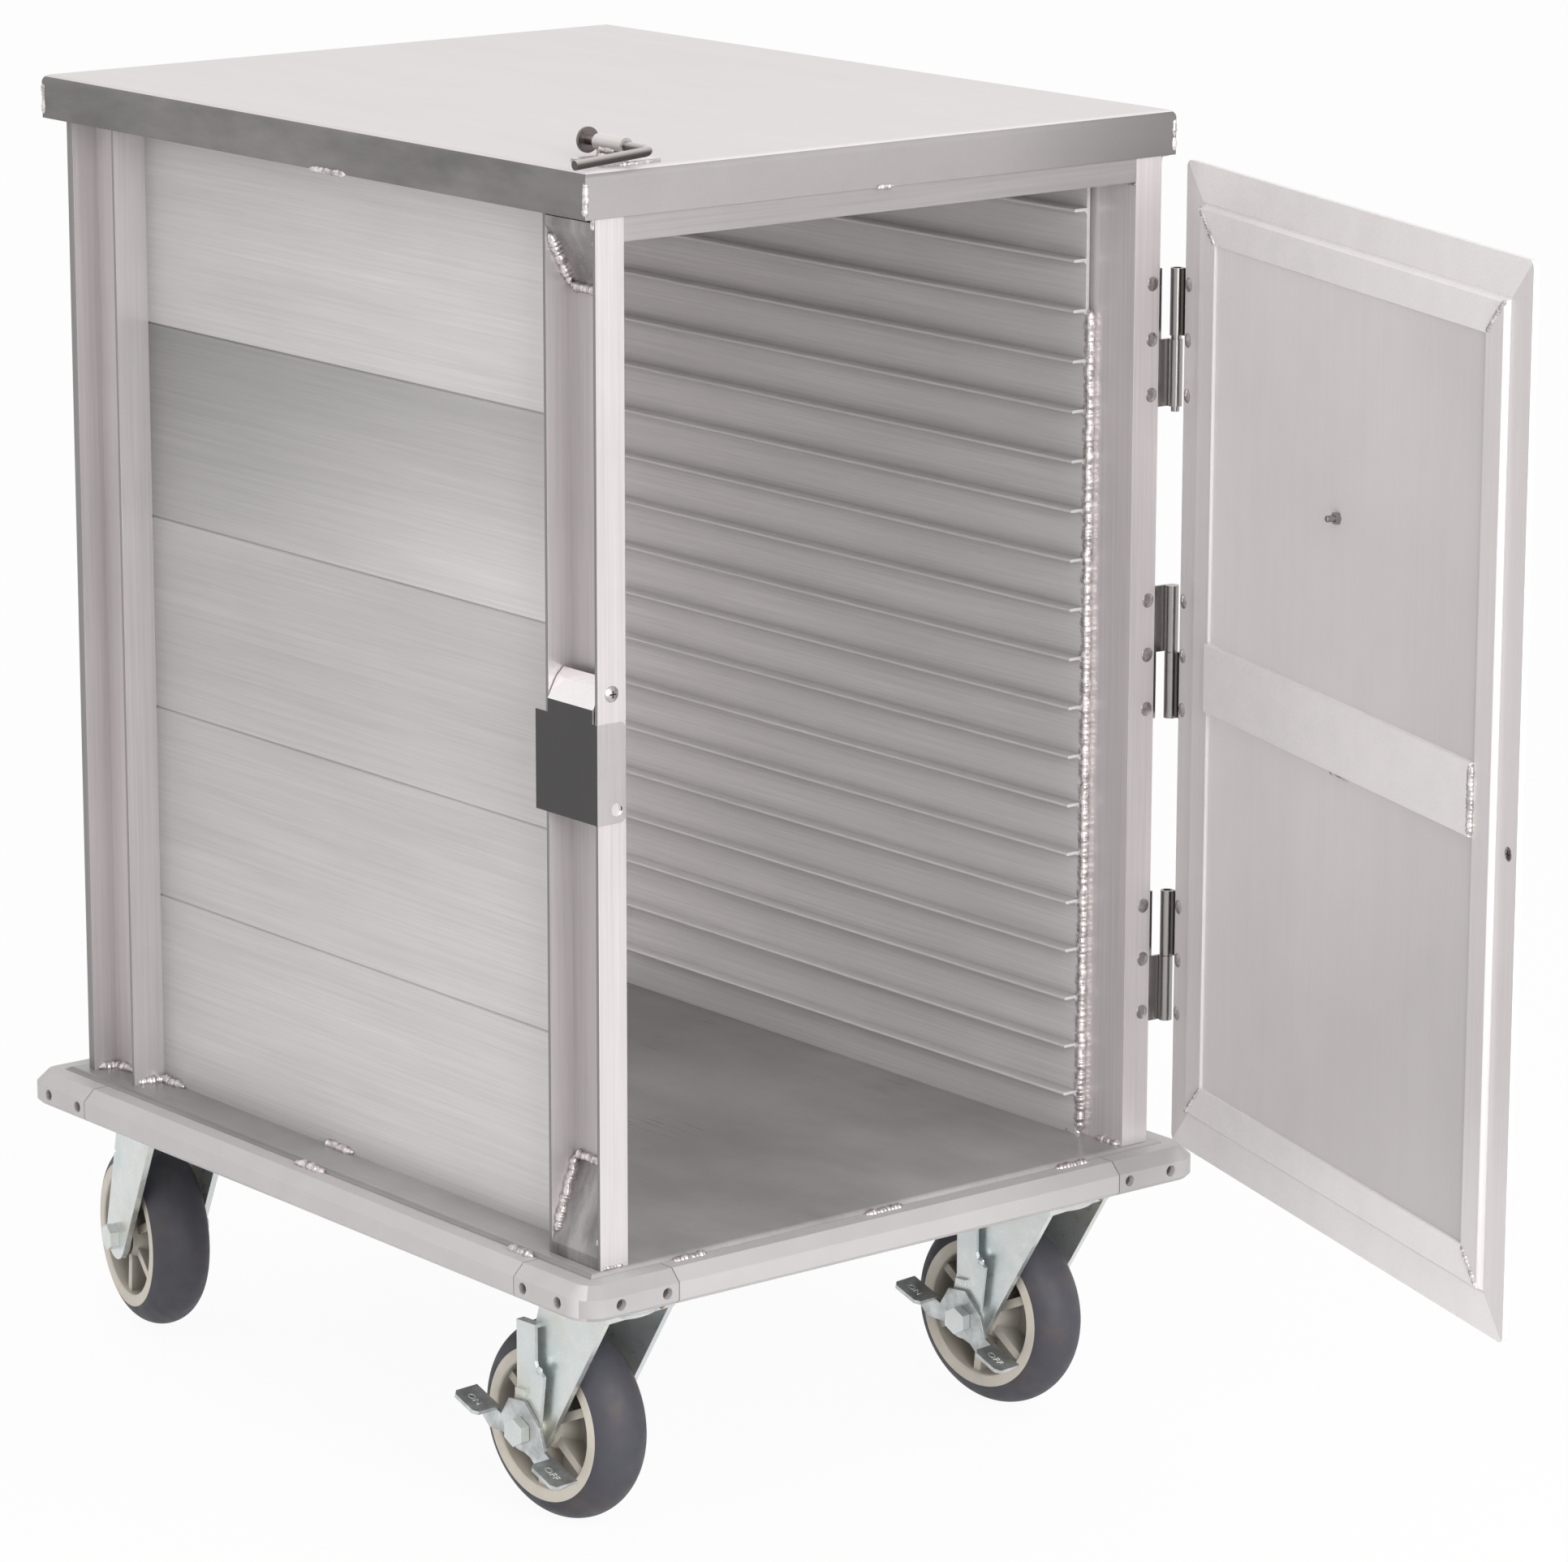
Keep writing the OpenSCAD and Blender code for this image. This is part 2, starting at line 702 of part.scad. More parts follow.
// Wheel core: rim, centre web, bearing barrel and spokes standing in a dished recess
module hub(i) {
    hw = wheel_w / 2;
    barrel = leg_in - seat_gap;
    color("tan") at_axle(i) rotate([0, 90, 0]) difference() {
        union() {
            rotate_extrude($fn = 96) polygon([[0, -barrel], [hub_r - 8, -barrel], [hub_r - 7, -hw + 3],
                [hub_r, -6], [hub_r + 2, -3], [rim_r - ring_w - 3, -3], [rim_r - ring_w, -hw + 1],
                [rim_r - ring_w + 1, -hw], [rim_r, -hw], [rim_r, hw], [rim_r - ring_w + 1, hw],
                [rim_r - ring_w, hw - 1], [rim_r - ring_w - 3, 3], [hub_r + 2, 3], [hub_r, 6],
                [hub_r - 7, hw - 3], [hub_r - 8, barrel], [0, barrel]]);
            for (k = [0 : spoke_n - 1]) rotate(k * 360 / spoke_n + 6)
                translate([hub_r - 9, -spoke_w / 2, -hw + 4])
                    cube([rim_r - ring_w - hub_r + 11, spoke_w, wheel_w - 8]);
        }
        cylinder(r = axle_d / 2 + run_gap, h = 2 * barrel + 2, center = true);
    }
}

module hub_fl() { hub(0); }
module hub_fr() { hub(1); }
module hub_rl() { hub(2); }
module hub_rr() { hub(3); }

// Crowned tread bonded round the rim
module tread(i) {
    color("slategray") at_axle(i) rotate([0, 90, 0]) rotate_extrude($fn = 128)
        difference() {
            intersection() {
                translate([wheel_r - tread_r, 0]) circle(tread_r, $fn = 96);
                translate([0, -wheel_w / 2]) square([wheel_r + 1, wheel_w]);
            }
            translate([-wheel_r, -wheel_w / 2 - 1]) square([wheel_r + rim_r + 0.05, wheel_w + 2]);
        }
}

module tread_fl() { tread(0); }
module tread_fr() { tread(1); }
module tread_rl() { tread(2); }
module tread_rr() { tread(3); }

// Turns a section drawn in trail direction and height into a plate outboard of the wheel
module outboard_plate(o, t) {
    translate([-o - t, 0, 0]) rotate([90, 0, 90]) linear_extrude(t) children();
}

// Brake strap: upright plate hooked to the fork's leg, with a catch tab and a stop pin
module brake_strap(i) {
    top = 84;
    color("lightsteelblue") at_axle(i) {
        outboard_plate(strap_o, strap_t) difference() {
            union() {
                polygon([[8, top], [-12.3, top], [-12.3, 56], [-14, 51], [-21.6, 45],
                    [-16.5, 4], [-11, -11], [11, -11], [14, 4], [10.5, 26], [8, 34]]);
                circle(boss_r - 3);
            }
            circle(d = axle_d + 0.2);
        }
        translate([-strap_o - eps, -12.3, top - strap_t]) cube([strap_o - leg_out, 20.3, strap_t]);
        translate([-strap_o - strap_t - cam_t, -4, 27]) cube([cam_t + eps, 11, 5]);
        translate([-strap_o - strap_t, -17.5, 50]) rotate([0, -90, 0]) dome(3.4, 1.8);
        translate([-strap_o, 0, 0]) rotate([0, 90, 0]) difference() {
            cylinder(r = 13, h = strap_o - leg_out);
            translate([0, 0, -1]) cylinder(d = axle_d + 0.2, h = strap_o);
        }
    }
}

module brake_strap_fl() { brake_strap(0); }
module brake_strap_fr() { brake_strap(1); }

// Foot pad bent outboard along the edge from p to q of the cam plate
module foot_pad(p, q) {
    d = q - p;
    a = atan2(d[1], d[0]);
    translate([-cam_o, p[0], p[1]]) rotate([a, 0, 0]) {
        translate([-pad_w - cam_t, 0, 0]) difference() {
            cube([pad_w + cam_t, norm(d), cam_t]);
            for (y = [0, norm(d)]) translate([0, y, -1]) rotate(45) cube([5, 5, 2 * cam_t + 2], center = true);
        }
    }
}

// Rocking cam plate with one pad to press it on and one to release it
module brake_pedal(i) {
    color("lightsteelblue") at_axle(i) {
        outboard_plate(cam_o, cam_t) difference() {
            union() {
                polygon([[13.8, 22], [-3.5, 23.3], [-19.9, 6.4], [-25.3, -10.5], [-32, -14.5],
                    [-54, -25], [-50, -27.5], [-18, -26], [-9.7, -18.4], [2.8, -14.3], [20.1, -6.1],
                    [36, -5.9], [49, 7], [54, 20.5], [30, 10.8], [22.5, 7.6]]);
                circle(boss_r - 3);
            }
            circle(r = axle_d / 2 + run_gap);
        }
        foot_pad([28, 9], [54, 19.5]);
        foot_pad([-58, -27.3], [-32, -16]);
    }
}

module brake_pedal_fl() { brake_pedal(0); }
module brake_pedal_fr() { brake_pedal(1); }

// ---------- door ----------

// Swings closed geometry to the angle at which the door stands
module swung() {
    translate([pin_x, pin_y, 0]) rotate([0, 0, door_open]) translate([-pin_x, -pin_y, 0]) children();
}

// Door plane: X from the hinge edge, Y up from the lower edge, Z towards the cabinet
module on_door() {
    swung() translate([door_w / 2, -door_face_y, door_z0]) rotate([90, 0, 180]) children();
}

// Frame section: edge flange, deep body, raised band and the slot that holds the skin
module door_section() {
    in = door_frame - slot_depth;
    polygon([[0, 0], [0, -door_flange], [20, -door_flange], [20, -door_out + 1], [21, -door_out],
        [door_frame - 1, -door_out], [door_frame, -door_out + 1], [door_frame, skin_n], [in, skin_n],
        [in, skin_n + door_skin], [door_frame, skin_n + door_skin], [door_frame, door_band - 0.6],
        [door_frame - 0.6, door_band], [door_step + 2.3, door_band], [door_step + 1.5, door_band - 0.8],
        [door_step, 0], [door_step - 0.6, 0], [door_step - 1.2, -0.6], [door_step - 1.8, 0]]);
}

// One frame bar along X with mitred ends, its outer edge on Y = 0
module door_bar(length) {
    intersection() {
        rotate([90, 0, 90]) linear_extrude(length) door_section();
        translate([0, 0, -20]) linear_extrude(40)
            polygon([[0, 0], [length, 0], [length - door_frame, door_frame], [door_frame, door_frame]]);
    }
}

module door_outline() {
    translate([0, 0, -20]) linear_extrude(40) round_rect(door_w, door_h, door_corner);
}

module door_stile_hinge() {
    color("silver") difference() {
        on_door() intersection() {
            mirror([1, -1, 0]) door_bar(door_h);
            door_outline();
        }
        door_rivet_holes();
    }
}

module door_stile_free() {
    color("silver") on_door() difference() {
        intersection() {
            translate([door_w, 0, 0]) mirror([1, 0, 0]) mirror([1, -1, 0]) door_bar(door_h);
            door_outline();
        }
        translate([screw_p, pull_z, -20]) cylinder(d = screw_d + 0.2, h = 40);
    }
}

module door_rail_bottom() {
    color("silver") on_door() intersection() {
        door_bar(door_w);
        door_outline();
    }
}

module door_rail_top() {
    color("silver") on_door() intersection() {
        translate([0, door_h, 0]) mirror([0, 1, 0]) door_bar(door_w);
        door_outline();
    }
}

module door_skin_panel() {
    inset = door_frame - slot_depth + 0.5;
    color("lightgray") on_door() difference() {
        translate([inset, inset, skin_n]) cube([door_w - 2 * inset, door_h - 2 * inset, door_skin]);
        translate([bolt_p, door_bolt_z - door_low, skin_n - 1]) cylinder(r = 2.6, h = door_skin + 2);
    }
}

module door_middle_rail() {
    color("silver") on_door()
        translate([0, mid_rail_z - door_low - mid_rail_w / 2, skin_n + door_skin])
            rotate([90, 0, 90]) translate([0, 0, door_frame]) linear_extrude(door_w - 2 * door_frame)
                difference() {
                    square([mid_rail_w, mid_rail_t]);
                    translate([3, -1]) square([mid_rail_w - 6, mid_rail_t - 2]);
                    for (x = [0, mid_rail_w]) translate([x, mid_rail_t]) rotate(45) square(1, center = true);
                }
}

// Bolt through the skin with its nut inside, holding the rubber button outside
module door_bolt() {
    color("silver") on_door() translate([bolt_p, door_bolt_z - door_low, skin_n]) {
        translate([0, 0, -6]) cylinder(r = 2.5, h = 6 + door_skin + 9.5);
        translate([0, 0, door_skin + 9.5]) dome(2.5, 1.2);
        translate([0, 0, door_skin]) hex(8, 4);
        translate([0, 0, -9]) cylinder(r = 5, h = 3);
    }
}

module door_button() {
    color("dimgray") on_door() translate([bolt_p, door_bolt_z - door_low, skin_n]) mirror([0, 0, 1])
        difference() {
            rotate_extrude() polygon([[0, 0], [14, 0], [14, 4], [13, 9], [11, 11], [8, 12], [0, 12]]);
            translate([0, 0, -1]) cylinder(r = 2.6, h = 20);
            translate([0, 0, 6]) cylinder(r = 5.2, h = 20);
        }
}

// Bent pull on the free stile with the screw that holds it
module door_pull() {
    color("silver") on_door() translate([0, pull_z, 0]) {
        difference() {
            union() {
                translate([door_w - 50, -30, -door_out - 2]) cube([42, 60, 2]);
                translate([door_w - 19.7, -12, -door_out - eps]) cube([11.7, 24, door_out - door_flange + eps]);
            }
            translate([screw_p, 0, -20]) cylinder(d = screw_d + 0.2, h = 40);
        }
        translate([door_w - 50, -30, -door_out - 14]) cube([2, 60, 13]);
        translate([door_w - 62, -30, -door_out - 14]) cube([13, 60, 2]);
        translate([door_w - 62, 0, -door_out - 13]) rotate([90, 0, 0]) cylinder(r = 1.6, h = 60, center = true);
        translate([screw_p, 0, 0]) dome(5.2, pull_screw_rise);
        translate([screw_p, 0, -door_out - 3]) cylinder(d = screw_d, h = door_out + 3.2);
        translate([screw_p, 0, -door_out - 2]) mirror([0, 0, 1]) dome(4.6, 1.4);
    }
}

// ---------- hinges ----------

// Lower end of a hinge's upper and lower knuckle, measured from its centre
function knuckle_z(i, upper) = upper ? knuckle_gap[i] / 2 : -knuckle_gap[i] / 2 - knuckle_l;

module at_hinges() {
    for (i = [0 : len(hinge_z) - 1]) {
        $hinge = i;
        translate([0, 0, floor_z + hinge_z[i]]) children();
    }
}

module knuckle(upper) {
    translate([pin_x, pin_y, knuckle_z($hinge, upper)]) cylinder(r = knuckle_r, h = knuckle_l);
}

// Post leaf: flat behind the face flange, drawn up to the knuckle over half its height
module post_leaf() {
    upper = !door_on_top[$hinge];
    y = -front_y + post_t;
    x0 = half_w - post_flange + post_t + 2;
    full = 2 * knuckle_l + knuckle_gap[$hinge];
    translate([x0, y, -full / 2]) cube([half_w + leaf_strip - x0, leaf_t, full]);
    translate([0, 0, knuckle_z($hinge, upper)]) linear_extrude(knuckle_l)
        polygon([[half_w, y], [half_w + eps, y], [pin_x, pin_y + knuckle_r - leaf_t + 0.2],
            [pin_x, pin_y + knuckle_r], [half_w, y + leaf_t]]);
    knuckle(upper);
}

// The pin is fast in the post's knuckle and stands in the door's knuckle
module hinge_pin() {
    upper = !door_on_top[$hinge];
    full = 2 * knuckle_l + knuckle_gap[$hinge];
    drop = $hinge == 0 ? 4 : -1;
    translate([pin_x, pin_y, -full / 2 - drop]) cylinder(r = hinge_pin_r, h = full + drop - 2);
    if ($hinge == 0) translate([pin_x, pin_y, -knuckle_gap[0] / 2])
        cylinder(r = hinge_pin_r + 0.8, h = knuckle_gap[0] - 0.1);
}

module at_post_rivets() {
    at_hinges() for (k = [-1, 0, 1]) translate([half_w - 7, -front_y, k * rivet_pitch])
        rotate([90, 0, 0]) children();
}

module post_rivet_holes() { at_post_rivets() translate([0, 0, -20]) cylinder(r = rivet_r + 0.1, h = 30); }

module hinge_post_leaves() {
    color("gray") {
        difference() {
            at_hinges() post_leaf();
            post_rivet_holes();
        }
        at_hinges() hinge_pin();
    }
}

module hinge_post_rivets() {
    grip = post_t + leaf_t;
    color("gray") at_post_rivets() {
        dome(rivet_head / 2, rivet_rise);
        translate([0, 0, -grip - rivet_tail + 0.2]) cylinder(r = rivet_r, h = grip + rivet_tail);
        translate([0, 0, -grip]) mirror([0, 0, 1]) dome(rivet_head / 2 - 1.5, rivet_tail);
    }
}

// Door leaf in closed position: flat on the flange's outer face, then up to the knuckle
module door_leaf() {
    upper = door_on_top[$hinge];
    edge = door_w / 2;
    y = -door_face_y - door_flange;
    full = 2 * knuckle_l + knuckle_gap[$hinge];
    translate([edge - leaf_w, y - leaf_t, -full / 2]) cube([leaf_w, leaf_t, full]);
    difference() {
        union() {
            translate([0, 0, knuckle_z($hinge, upper)]) linear_extrude(knuckle_l)
                polygon([[edge - 1, y - leaf_t], [edge - 1, y], [edge + 0.3, y],
                    [pin_x, pin_y - knuckle_r + leaf_t - 0.2], [pin_x, pin_y - knuckle_r]]);
            knuckle(upper);
        }
        translate([pin_x, pin_y, -full]) cylinder(r = hinge_pin_r + run_gap, h = 2 * full);
    }
}

module at_door_rivets() {
    at_hinges() for (k = [-1, 0, 1]) translate([door_w / 2 - rivet_in, -door_face_y, k * rivet_pitch])
        rotate([-90, 0, 0]) children();
}

module door_rivet_holes() {
    swung() at_door_rivets() translate([0, 0, -20]) cylinder(r = rivet_r + 0.1, h = 30);
}

module hinge_door_leaves() {
    color("gray") difference() {
        swung() at_hinges() door_leaf();
        door_rivet_holes();
    }
}

module hinge_door_rivets() {
    grip = door_flange + leaf_t;
    color("gray") swung() at_door_rivets() {
        dome(rivet_head / 2, rivet_rise);
        translate([0, 0, -grip - rivet_tail + 0.2]) cylinder(r = rivet_r, h = grip + rivet_tail);
        translate([0, 0, -grip]) mirror([0, 0, 1]) dome(rivet_head / 2 - 1.5, rivet_tail);
    }
}

// ---------- strike plate and rod latch ----------

// Bent plate round the front left post: side plate, sloped hood and a front tab
module strike_plate() {
    x = -half_w;
    front = -front_y - strike_t;
    color("gray") difference() {
        union() {
            translate([x - strike_t, front, strike_z0]) cube([strike_t, strike_len, strike_h]);
            along_y(-front_y + post_t + 1, -front_y + post_d - post_t - 1)
                translate([x, strike_z0 + strike_h]) polygon([[-strike_t, -eps],
                [0, -eps], [0, strike_neck - 1], [8, 24], [14, 30], [13, 31.2], [6.8, 25], [-strike_t, strike_neck]]);
            translate([x, -front_y, strike_z0]) rotate([90, 0, 0]) linear_extrude(strike_t) {
                translate([-strike_t, 0]) square([10, strike_h]);
                translate([-strike_t, 0]) round_rect(post_flange + strike_t - 1, strike_h, 6);
            }
        }
        translate([x + 15.5, 0, strike_z0 + 10]) rotate([90, 0, 0]) cylinder(r = 5, h = front_y + 20);
    }
}

// Pan-head screw in the post's face above the strike plate
module strike_screw_shape(r, head) {
    translate([-half_w + 12.5, -front_y, strike_z0 + strike_h + strike_screw_up]) rotate([90, 0, 0]) {
        translate([0, 0, -12]) cylinder(r = r, h = 12.3);
        if (head > 0) dome(6, head);
    }
}

module strike_screw() { color("silver") strike_screw_shape(screw_d / 2, 1.8); }

module rod_latch_mount() {
    color("silver") difference() {
        union() {
            translate([-rod_x - 25, tube_y0 - 7, roof_top]) cube([50, 38, latch_base_t]);
            translate([-rod_x - 4, tube_y0 + 3, roof_top + latch_base_t - eps])
                cube([8, rod_tube_l - 6, rod_z - latch_base_t]);
            translate([-rod_x, tube_y1, rod_axis]) rotate([90, 0, 0]) cylinder(d = rod_tube_d, h = rod_tube_l);
        }
        translate([-rod_x, tube_y1 + 1, rod_axis]) rotate([90, 0, 0])
            cylinder(r = rod_r + run_gap, h = rod_tube_l + 2);
    }
}

// Pull disc that rides on the rod's rear end
module latch_disc() {
    color("dimgray") translate([-rod_x, disc_y + disc_t, rod_axis]) rotate([90, 0, 0]) difference() {
        union() {
            cylinder(r = disc_r, h = disc_t);
            translate([0, 0, -2]) cylinder(r = rod_r + 2.5, h = 2 + eps);
        }
        translate([0, 0, -3]) cylinder(r = rod_r + run_gap, h = disc_t + 6);
    }
}

// Round rod with its front end turned aside
module latch_rod() {
    color("gray") translate([-rod_x, 0, rod_axis]) rotate([0, -rod_droop, 0]) {
        translate([0, leg_y + bend_r, 0]) rotate([-90, 0, 0])
            cylinder(r = rod_r, h = disc_y + disc_t + 2 - leg_y - bend_r);
        translate([-bend_r, leg_y + bend_r, 0]) rotate([0, 0, -90])
            rotate_extrude(angle = 90) translate([bend_r, 0]) circle(rod_r);
        translate([-rod_leg, leg_y, 0]) rotate([0, 90, 0]) cylinder(r = rod_r, h = rod_leg - bend_r);
    }
}

roof_pan();
front_header();
post_front_left();
post_front_right();
post_rear_left();
post_rear_right();
side_wall_left();
side_wall_right();
rear_panel();
gussets();
deck();
base_frame();
bumper_rails();
bumper_corner_fl();
bumper_corner_fr();
bumper_corner_rl();
bumper_corner_rr();
bumper_screws();
caster_plates();
caster_bolts();
hinge_post_leaves();
hinge_post_rivets();
strike_plate();
strike_screw();
rod_latch_mount();
door_stile_hinge();
door_stile_free();
door_rail_top();
door_rail_bottom();
door_skin_panel();
door_middle_rail();
hinge_door_leaves();
hinge_door_rivets();
door_bolt();
door_button();
door_pull();
latch_disc();
latch_rod();
fork_fl();
fork_fr();
fork_rl();
fork_rr();
axle_fl();
axle_fr();
axle_rl();
axle_rr();
hub_fl();
hub_fr();
hub_rl();
hub_rr();
tread_fl();
tread_fr();
tread_rl();
tread_rr();
brake_strap_fl();
brake_strap_fr();
brake_pedal_fl();
brake_pedal_fr();
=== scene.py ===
"""Looks of the enclosed meal tray cart. Metres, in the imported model's frame: origin on the
floor under the middle of the cabinet, +X right seen from the door side, +Y to the rear.
Welds and small fittings are placed in millimetres, and a Heap turns them into metres."""
import itertools
import json
import math
import random

import bpy
import bmesh
from mathutils import Matrix, Vector, noise


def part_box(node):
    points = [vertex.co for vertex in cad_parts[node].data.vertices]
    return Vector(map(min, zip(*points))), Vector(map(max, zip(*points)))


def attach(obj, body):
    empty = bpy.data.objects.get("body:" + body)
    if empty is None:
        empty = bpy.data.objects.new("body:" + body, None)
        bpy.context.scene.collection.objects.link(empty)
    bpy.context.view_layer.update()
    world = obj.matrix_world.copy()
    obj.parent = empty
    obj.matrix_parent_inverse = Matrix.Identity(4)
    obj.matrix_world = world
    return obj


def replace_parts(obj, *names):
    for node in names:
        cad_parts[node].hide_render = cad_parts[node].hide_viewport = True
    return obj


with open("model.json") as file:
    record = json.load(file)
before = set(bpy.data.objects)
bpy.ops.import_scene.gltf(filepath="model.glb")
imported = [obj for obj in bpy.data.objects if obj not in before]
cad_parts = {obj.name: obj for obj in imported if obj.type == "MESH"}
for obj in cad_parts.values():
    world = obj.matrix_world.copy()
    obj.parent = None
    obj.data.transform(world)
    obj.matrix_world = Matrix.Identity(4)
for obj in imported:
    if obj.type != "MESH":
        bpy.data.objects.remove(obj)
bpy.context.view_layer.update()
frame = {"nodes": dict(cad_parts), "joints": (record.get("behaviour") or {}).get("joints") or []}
NODE = frame["nodes"]
JOINT = {j["name"]: j for j in frame["joints"]}
X, Y, Z = range(3)
MM = 0.001


def mm(metres):
    """Metres as millimetres, to the hundredth."""
    return [round(v / MM, 2) for v in metres]


def lowest(node):
    return mm(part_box(node)[0])


def highest(node):
    return mm(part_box(node)[1])


# Planes of the cabinet: the posts' outer and inner sides and front, the deck's top, the header's
# lower edge, and the lower edge and top of the roof pan
HALF_W = -lowest("post_front_left")[X]
INNER = -highest("post_front_left")[X]
FRONT = lowest("post_front_left")[Y]
FLOOR = highest("deck")[Z]
HEADER = lowest("front_header")[Z]
RIM = lowest("roof_pan")[Z]
ROOF = highest("roof_pan")[Z]

# The door: its gap to the posts, its lap past them, its size, its hinge pin and how far it stands open
DOOR_GAP = 2.4
DOOR_LAP = 3.0
DOOR_W = 2 * (HALF_W + DOOR_LAP)
DOOR_Z = lowest("door_rail_bottom")[Z]
DOOR_H = highest("door_rail_top")[Z] - DOOR_Z
PIN = Vector((*mm(JOINT["door_hinge"]["pos_m"])[:2], 0.0))
DOOR_OPEN = math.radians(-JOINT["door_hinge"]["range_deg"][0])

# The wheels' radius, and how far each trails behind its swivel axis
WHEEL_R = mm(JOINT["wheel_spin_fl"]["pos_m"])[Z]
TRAIL = 48.5


def caster(k):
    """Place of a caster's swivel axis in millimetres, and its turn at rest."""
    x, y, _ = mm(JOINT["swivel_" + k]["pos_m"])
    axle = JOINT["wheel_spin_" + k]["axis"]
    return x, y, math.radians(round(math.degrees(math.atan2(axle[Y], axle[X])), 2))


CASTERS = {k: caster(k) for k in ("fl", "fr", "rl", "rr")}


# ---------- materials ----------

def lin(code):
    """Linear colour of a hex code."""
    out = []
    for k in (0, 2, 4):
        v = int(code[k:k + 2], 16) / 255
        out.append(v / 12.92 if v <= 0.04045 else ((v + 0.055) / 1.055) ** 2.4)
    return (*out, 1.0)


class Mat:
    """A node material with the few building blocks the finishes share. Places along an axis
    are in metres, and a level multiplies the colour so far."""

    def __init__(self, name, colour, metallic=0.0, rough=0.4):
        self.m = bpy.data.materials.new(name)
        self.m.use_nodes = True
        self.nt = self.m.node_tree
        self.p = self.nt.nodes["Principled BSDF"]
        self.base = lin(colour)
        self.p.inputs["Base Color"].default_value = self.base
        self.p.inputs["Metallic"].default_value = metallic
        self.p.inputs["Roughness"].default_value = rough
        self.coord = self.nt.nodes.new("ShaderNodeTexCoord").outputs["Object"]
        self.colour = None

    def link(self, a, b):
        self.nt.links.new(a, b)

    def noise(self, scale, stretch=(1, 1, 1), detail=3.0, rough=0.55):
        mp = self.nt.nodes.new("ShaderNodeMapping")
        mp.inputs["Scale"].default_value = stretch
        n = self.nt.nodes.new("ShaderNodeTexNoise")
        n.inputs["Scale"].default_value = scale
        n.inputs["Detail"].default_value = detail
        n.inputs["Roughness"].default_value = rough
        self.link(self.coord, mp.inputs["Vector"])
        self.link(mp.outputs[0], n.inputs["Vector"])
        return n.outputs["Fac"]

    def span(self, value, a, b, lo, hi):
        """Maps value from a..b to lo..hi."""
        r = self.nt.nodes.new("ShaderNodeMapRange")
        for k, v in zip(("From Min", "From Max", "To Min", "To Max"), (a, b, lo, hi)):
            r.inputs[k].default_value = v
        self.link(value, r.inputs["Value"])
        return r.outputs[0]

    def math(self, op, a, b):
        n = self.nt.nodes.new("ShaderNodeMath")
        n.operation = op
        for s, v in zip(n.inputs, (a, b)):
            if isinstance(v, (int, float)):
                s.default_value = v
            else:
                self.link(v, s)
        return n.outputs[0]

    def near(self, value, target, within):
        """1 where a value is within a distance of a target, else 0."""
        out = self.math("COMPARE", value, target)
        out.node.inputs[2].default_value = within
        return out

    def only(self, level, fac):
        """The level where fac is 1, and 1 where fac is 0."""
        return self.math("ADD", self.math("MULTIPLY", level, fac), self.math("SUBTRACT", 1.0, fac))

    def axis(self, k):
        """Place along axis k of the frame."""
        s = self.nt.nodes.new("ShaderNodeSeparateXYZ")
        self.link(self.coord, s.inputs[0])
        return s.outputs[k]

    def facing(self, k):
        """Component k of the surface normal in the object's own frame."""
        g = self.nt.nodes.new("ShaderNodeTexCoord").outputs["Normal"]
        s = self.nt.nodes.new("ShaderNodeSeparateXYZ")
        self.link(g, s.inputs[0])
        return s.outputs[k]

    def faces(self, k, sense, limit=0.7):
        """1 where the surface faces along axis k in the given sense, or both for 0."""
        n = self.facing(k)
        n = self.math("MULTIPLY", n, sense) if sense else self.math("ABSOLUTE", n, 0.0)
        return self.math("GREATER_THAN", n, limit)

    def where(self, fac, level):
        """Applies a level where fac is 1."""
        return self.shade(self.span(fac, 0.0, 1.0, 1.0, level))

    def fade(self, k, a, b, lo, hi, fac=None):
        """Level lo at a to hi at b along axis k, only where fac is 1 if it is given."""
        g = self.span(self.axis(k), a, b, lo, hi)
        return self.shade(g if fac is None else self.only(g, fac))

    def mottle(self, lo, hi, *pattern, a=0.3, b=0.7):
        """Levels lo to hi over a noise."""
        return self.shade(self.span(self.noise(*pattern), a, b, lo, hi))

    def paint_recess_shade(self, reach, lo):
        """Painted shade: darkens to lo where other surfaces within reach close the surface in."""
        n = self.nt.nodes.new("ShaderNodeAmbientOcclusion")
        n.samples = 6
        n.inputs["Distance"].default_value = reach
        return self.shade(self.span(n.outputs["AO"], 0.25, 0.85, lo, 1.0))

    def mix(self):
        """A colour mix after the colour so far, which is linked to the shader."""
        n = self.nt.nodes.new("ShaderNodeMix")
        n.data_type = "RGBA"
        if self.colour is None:
            n.inputs[6].default_value = self.base
        else:
            self.link(self.colour, n.inputs[6])
        self.colour = n.outputs[2]
        self.link(self.colour, self.p.inputs["Base Color"])
        return n

    def tint(self, fac, colour):
        """Mixes the colour so far with another where fac is 1."""
        n = self.mix()
        self.link(fac, n.inputs["Factor"])
        n.inputs[7].default_value = lin(colour)
        return self

    def shade(self, level):
        """Multiplies the colour so far by a level."""
        n = self.mix()
        n.blend_type = "MULTIPLY"
        n.inputs["Factor"].default_value = 1.0
        self.link(level, n.inputs[7])
        return self

    def rough(self, value, lo, hi):
        self.link(self.span(value, 0.3, 0.7, lo, hi), self.p.inputs["Roughness"])
        return self

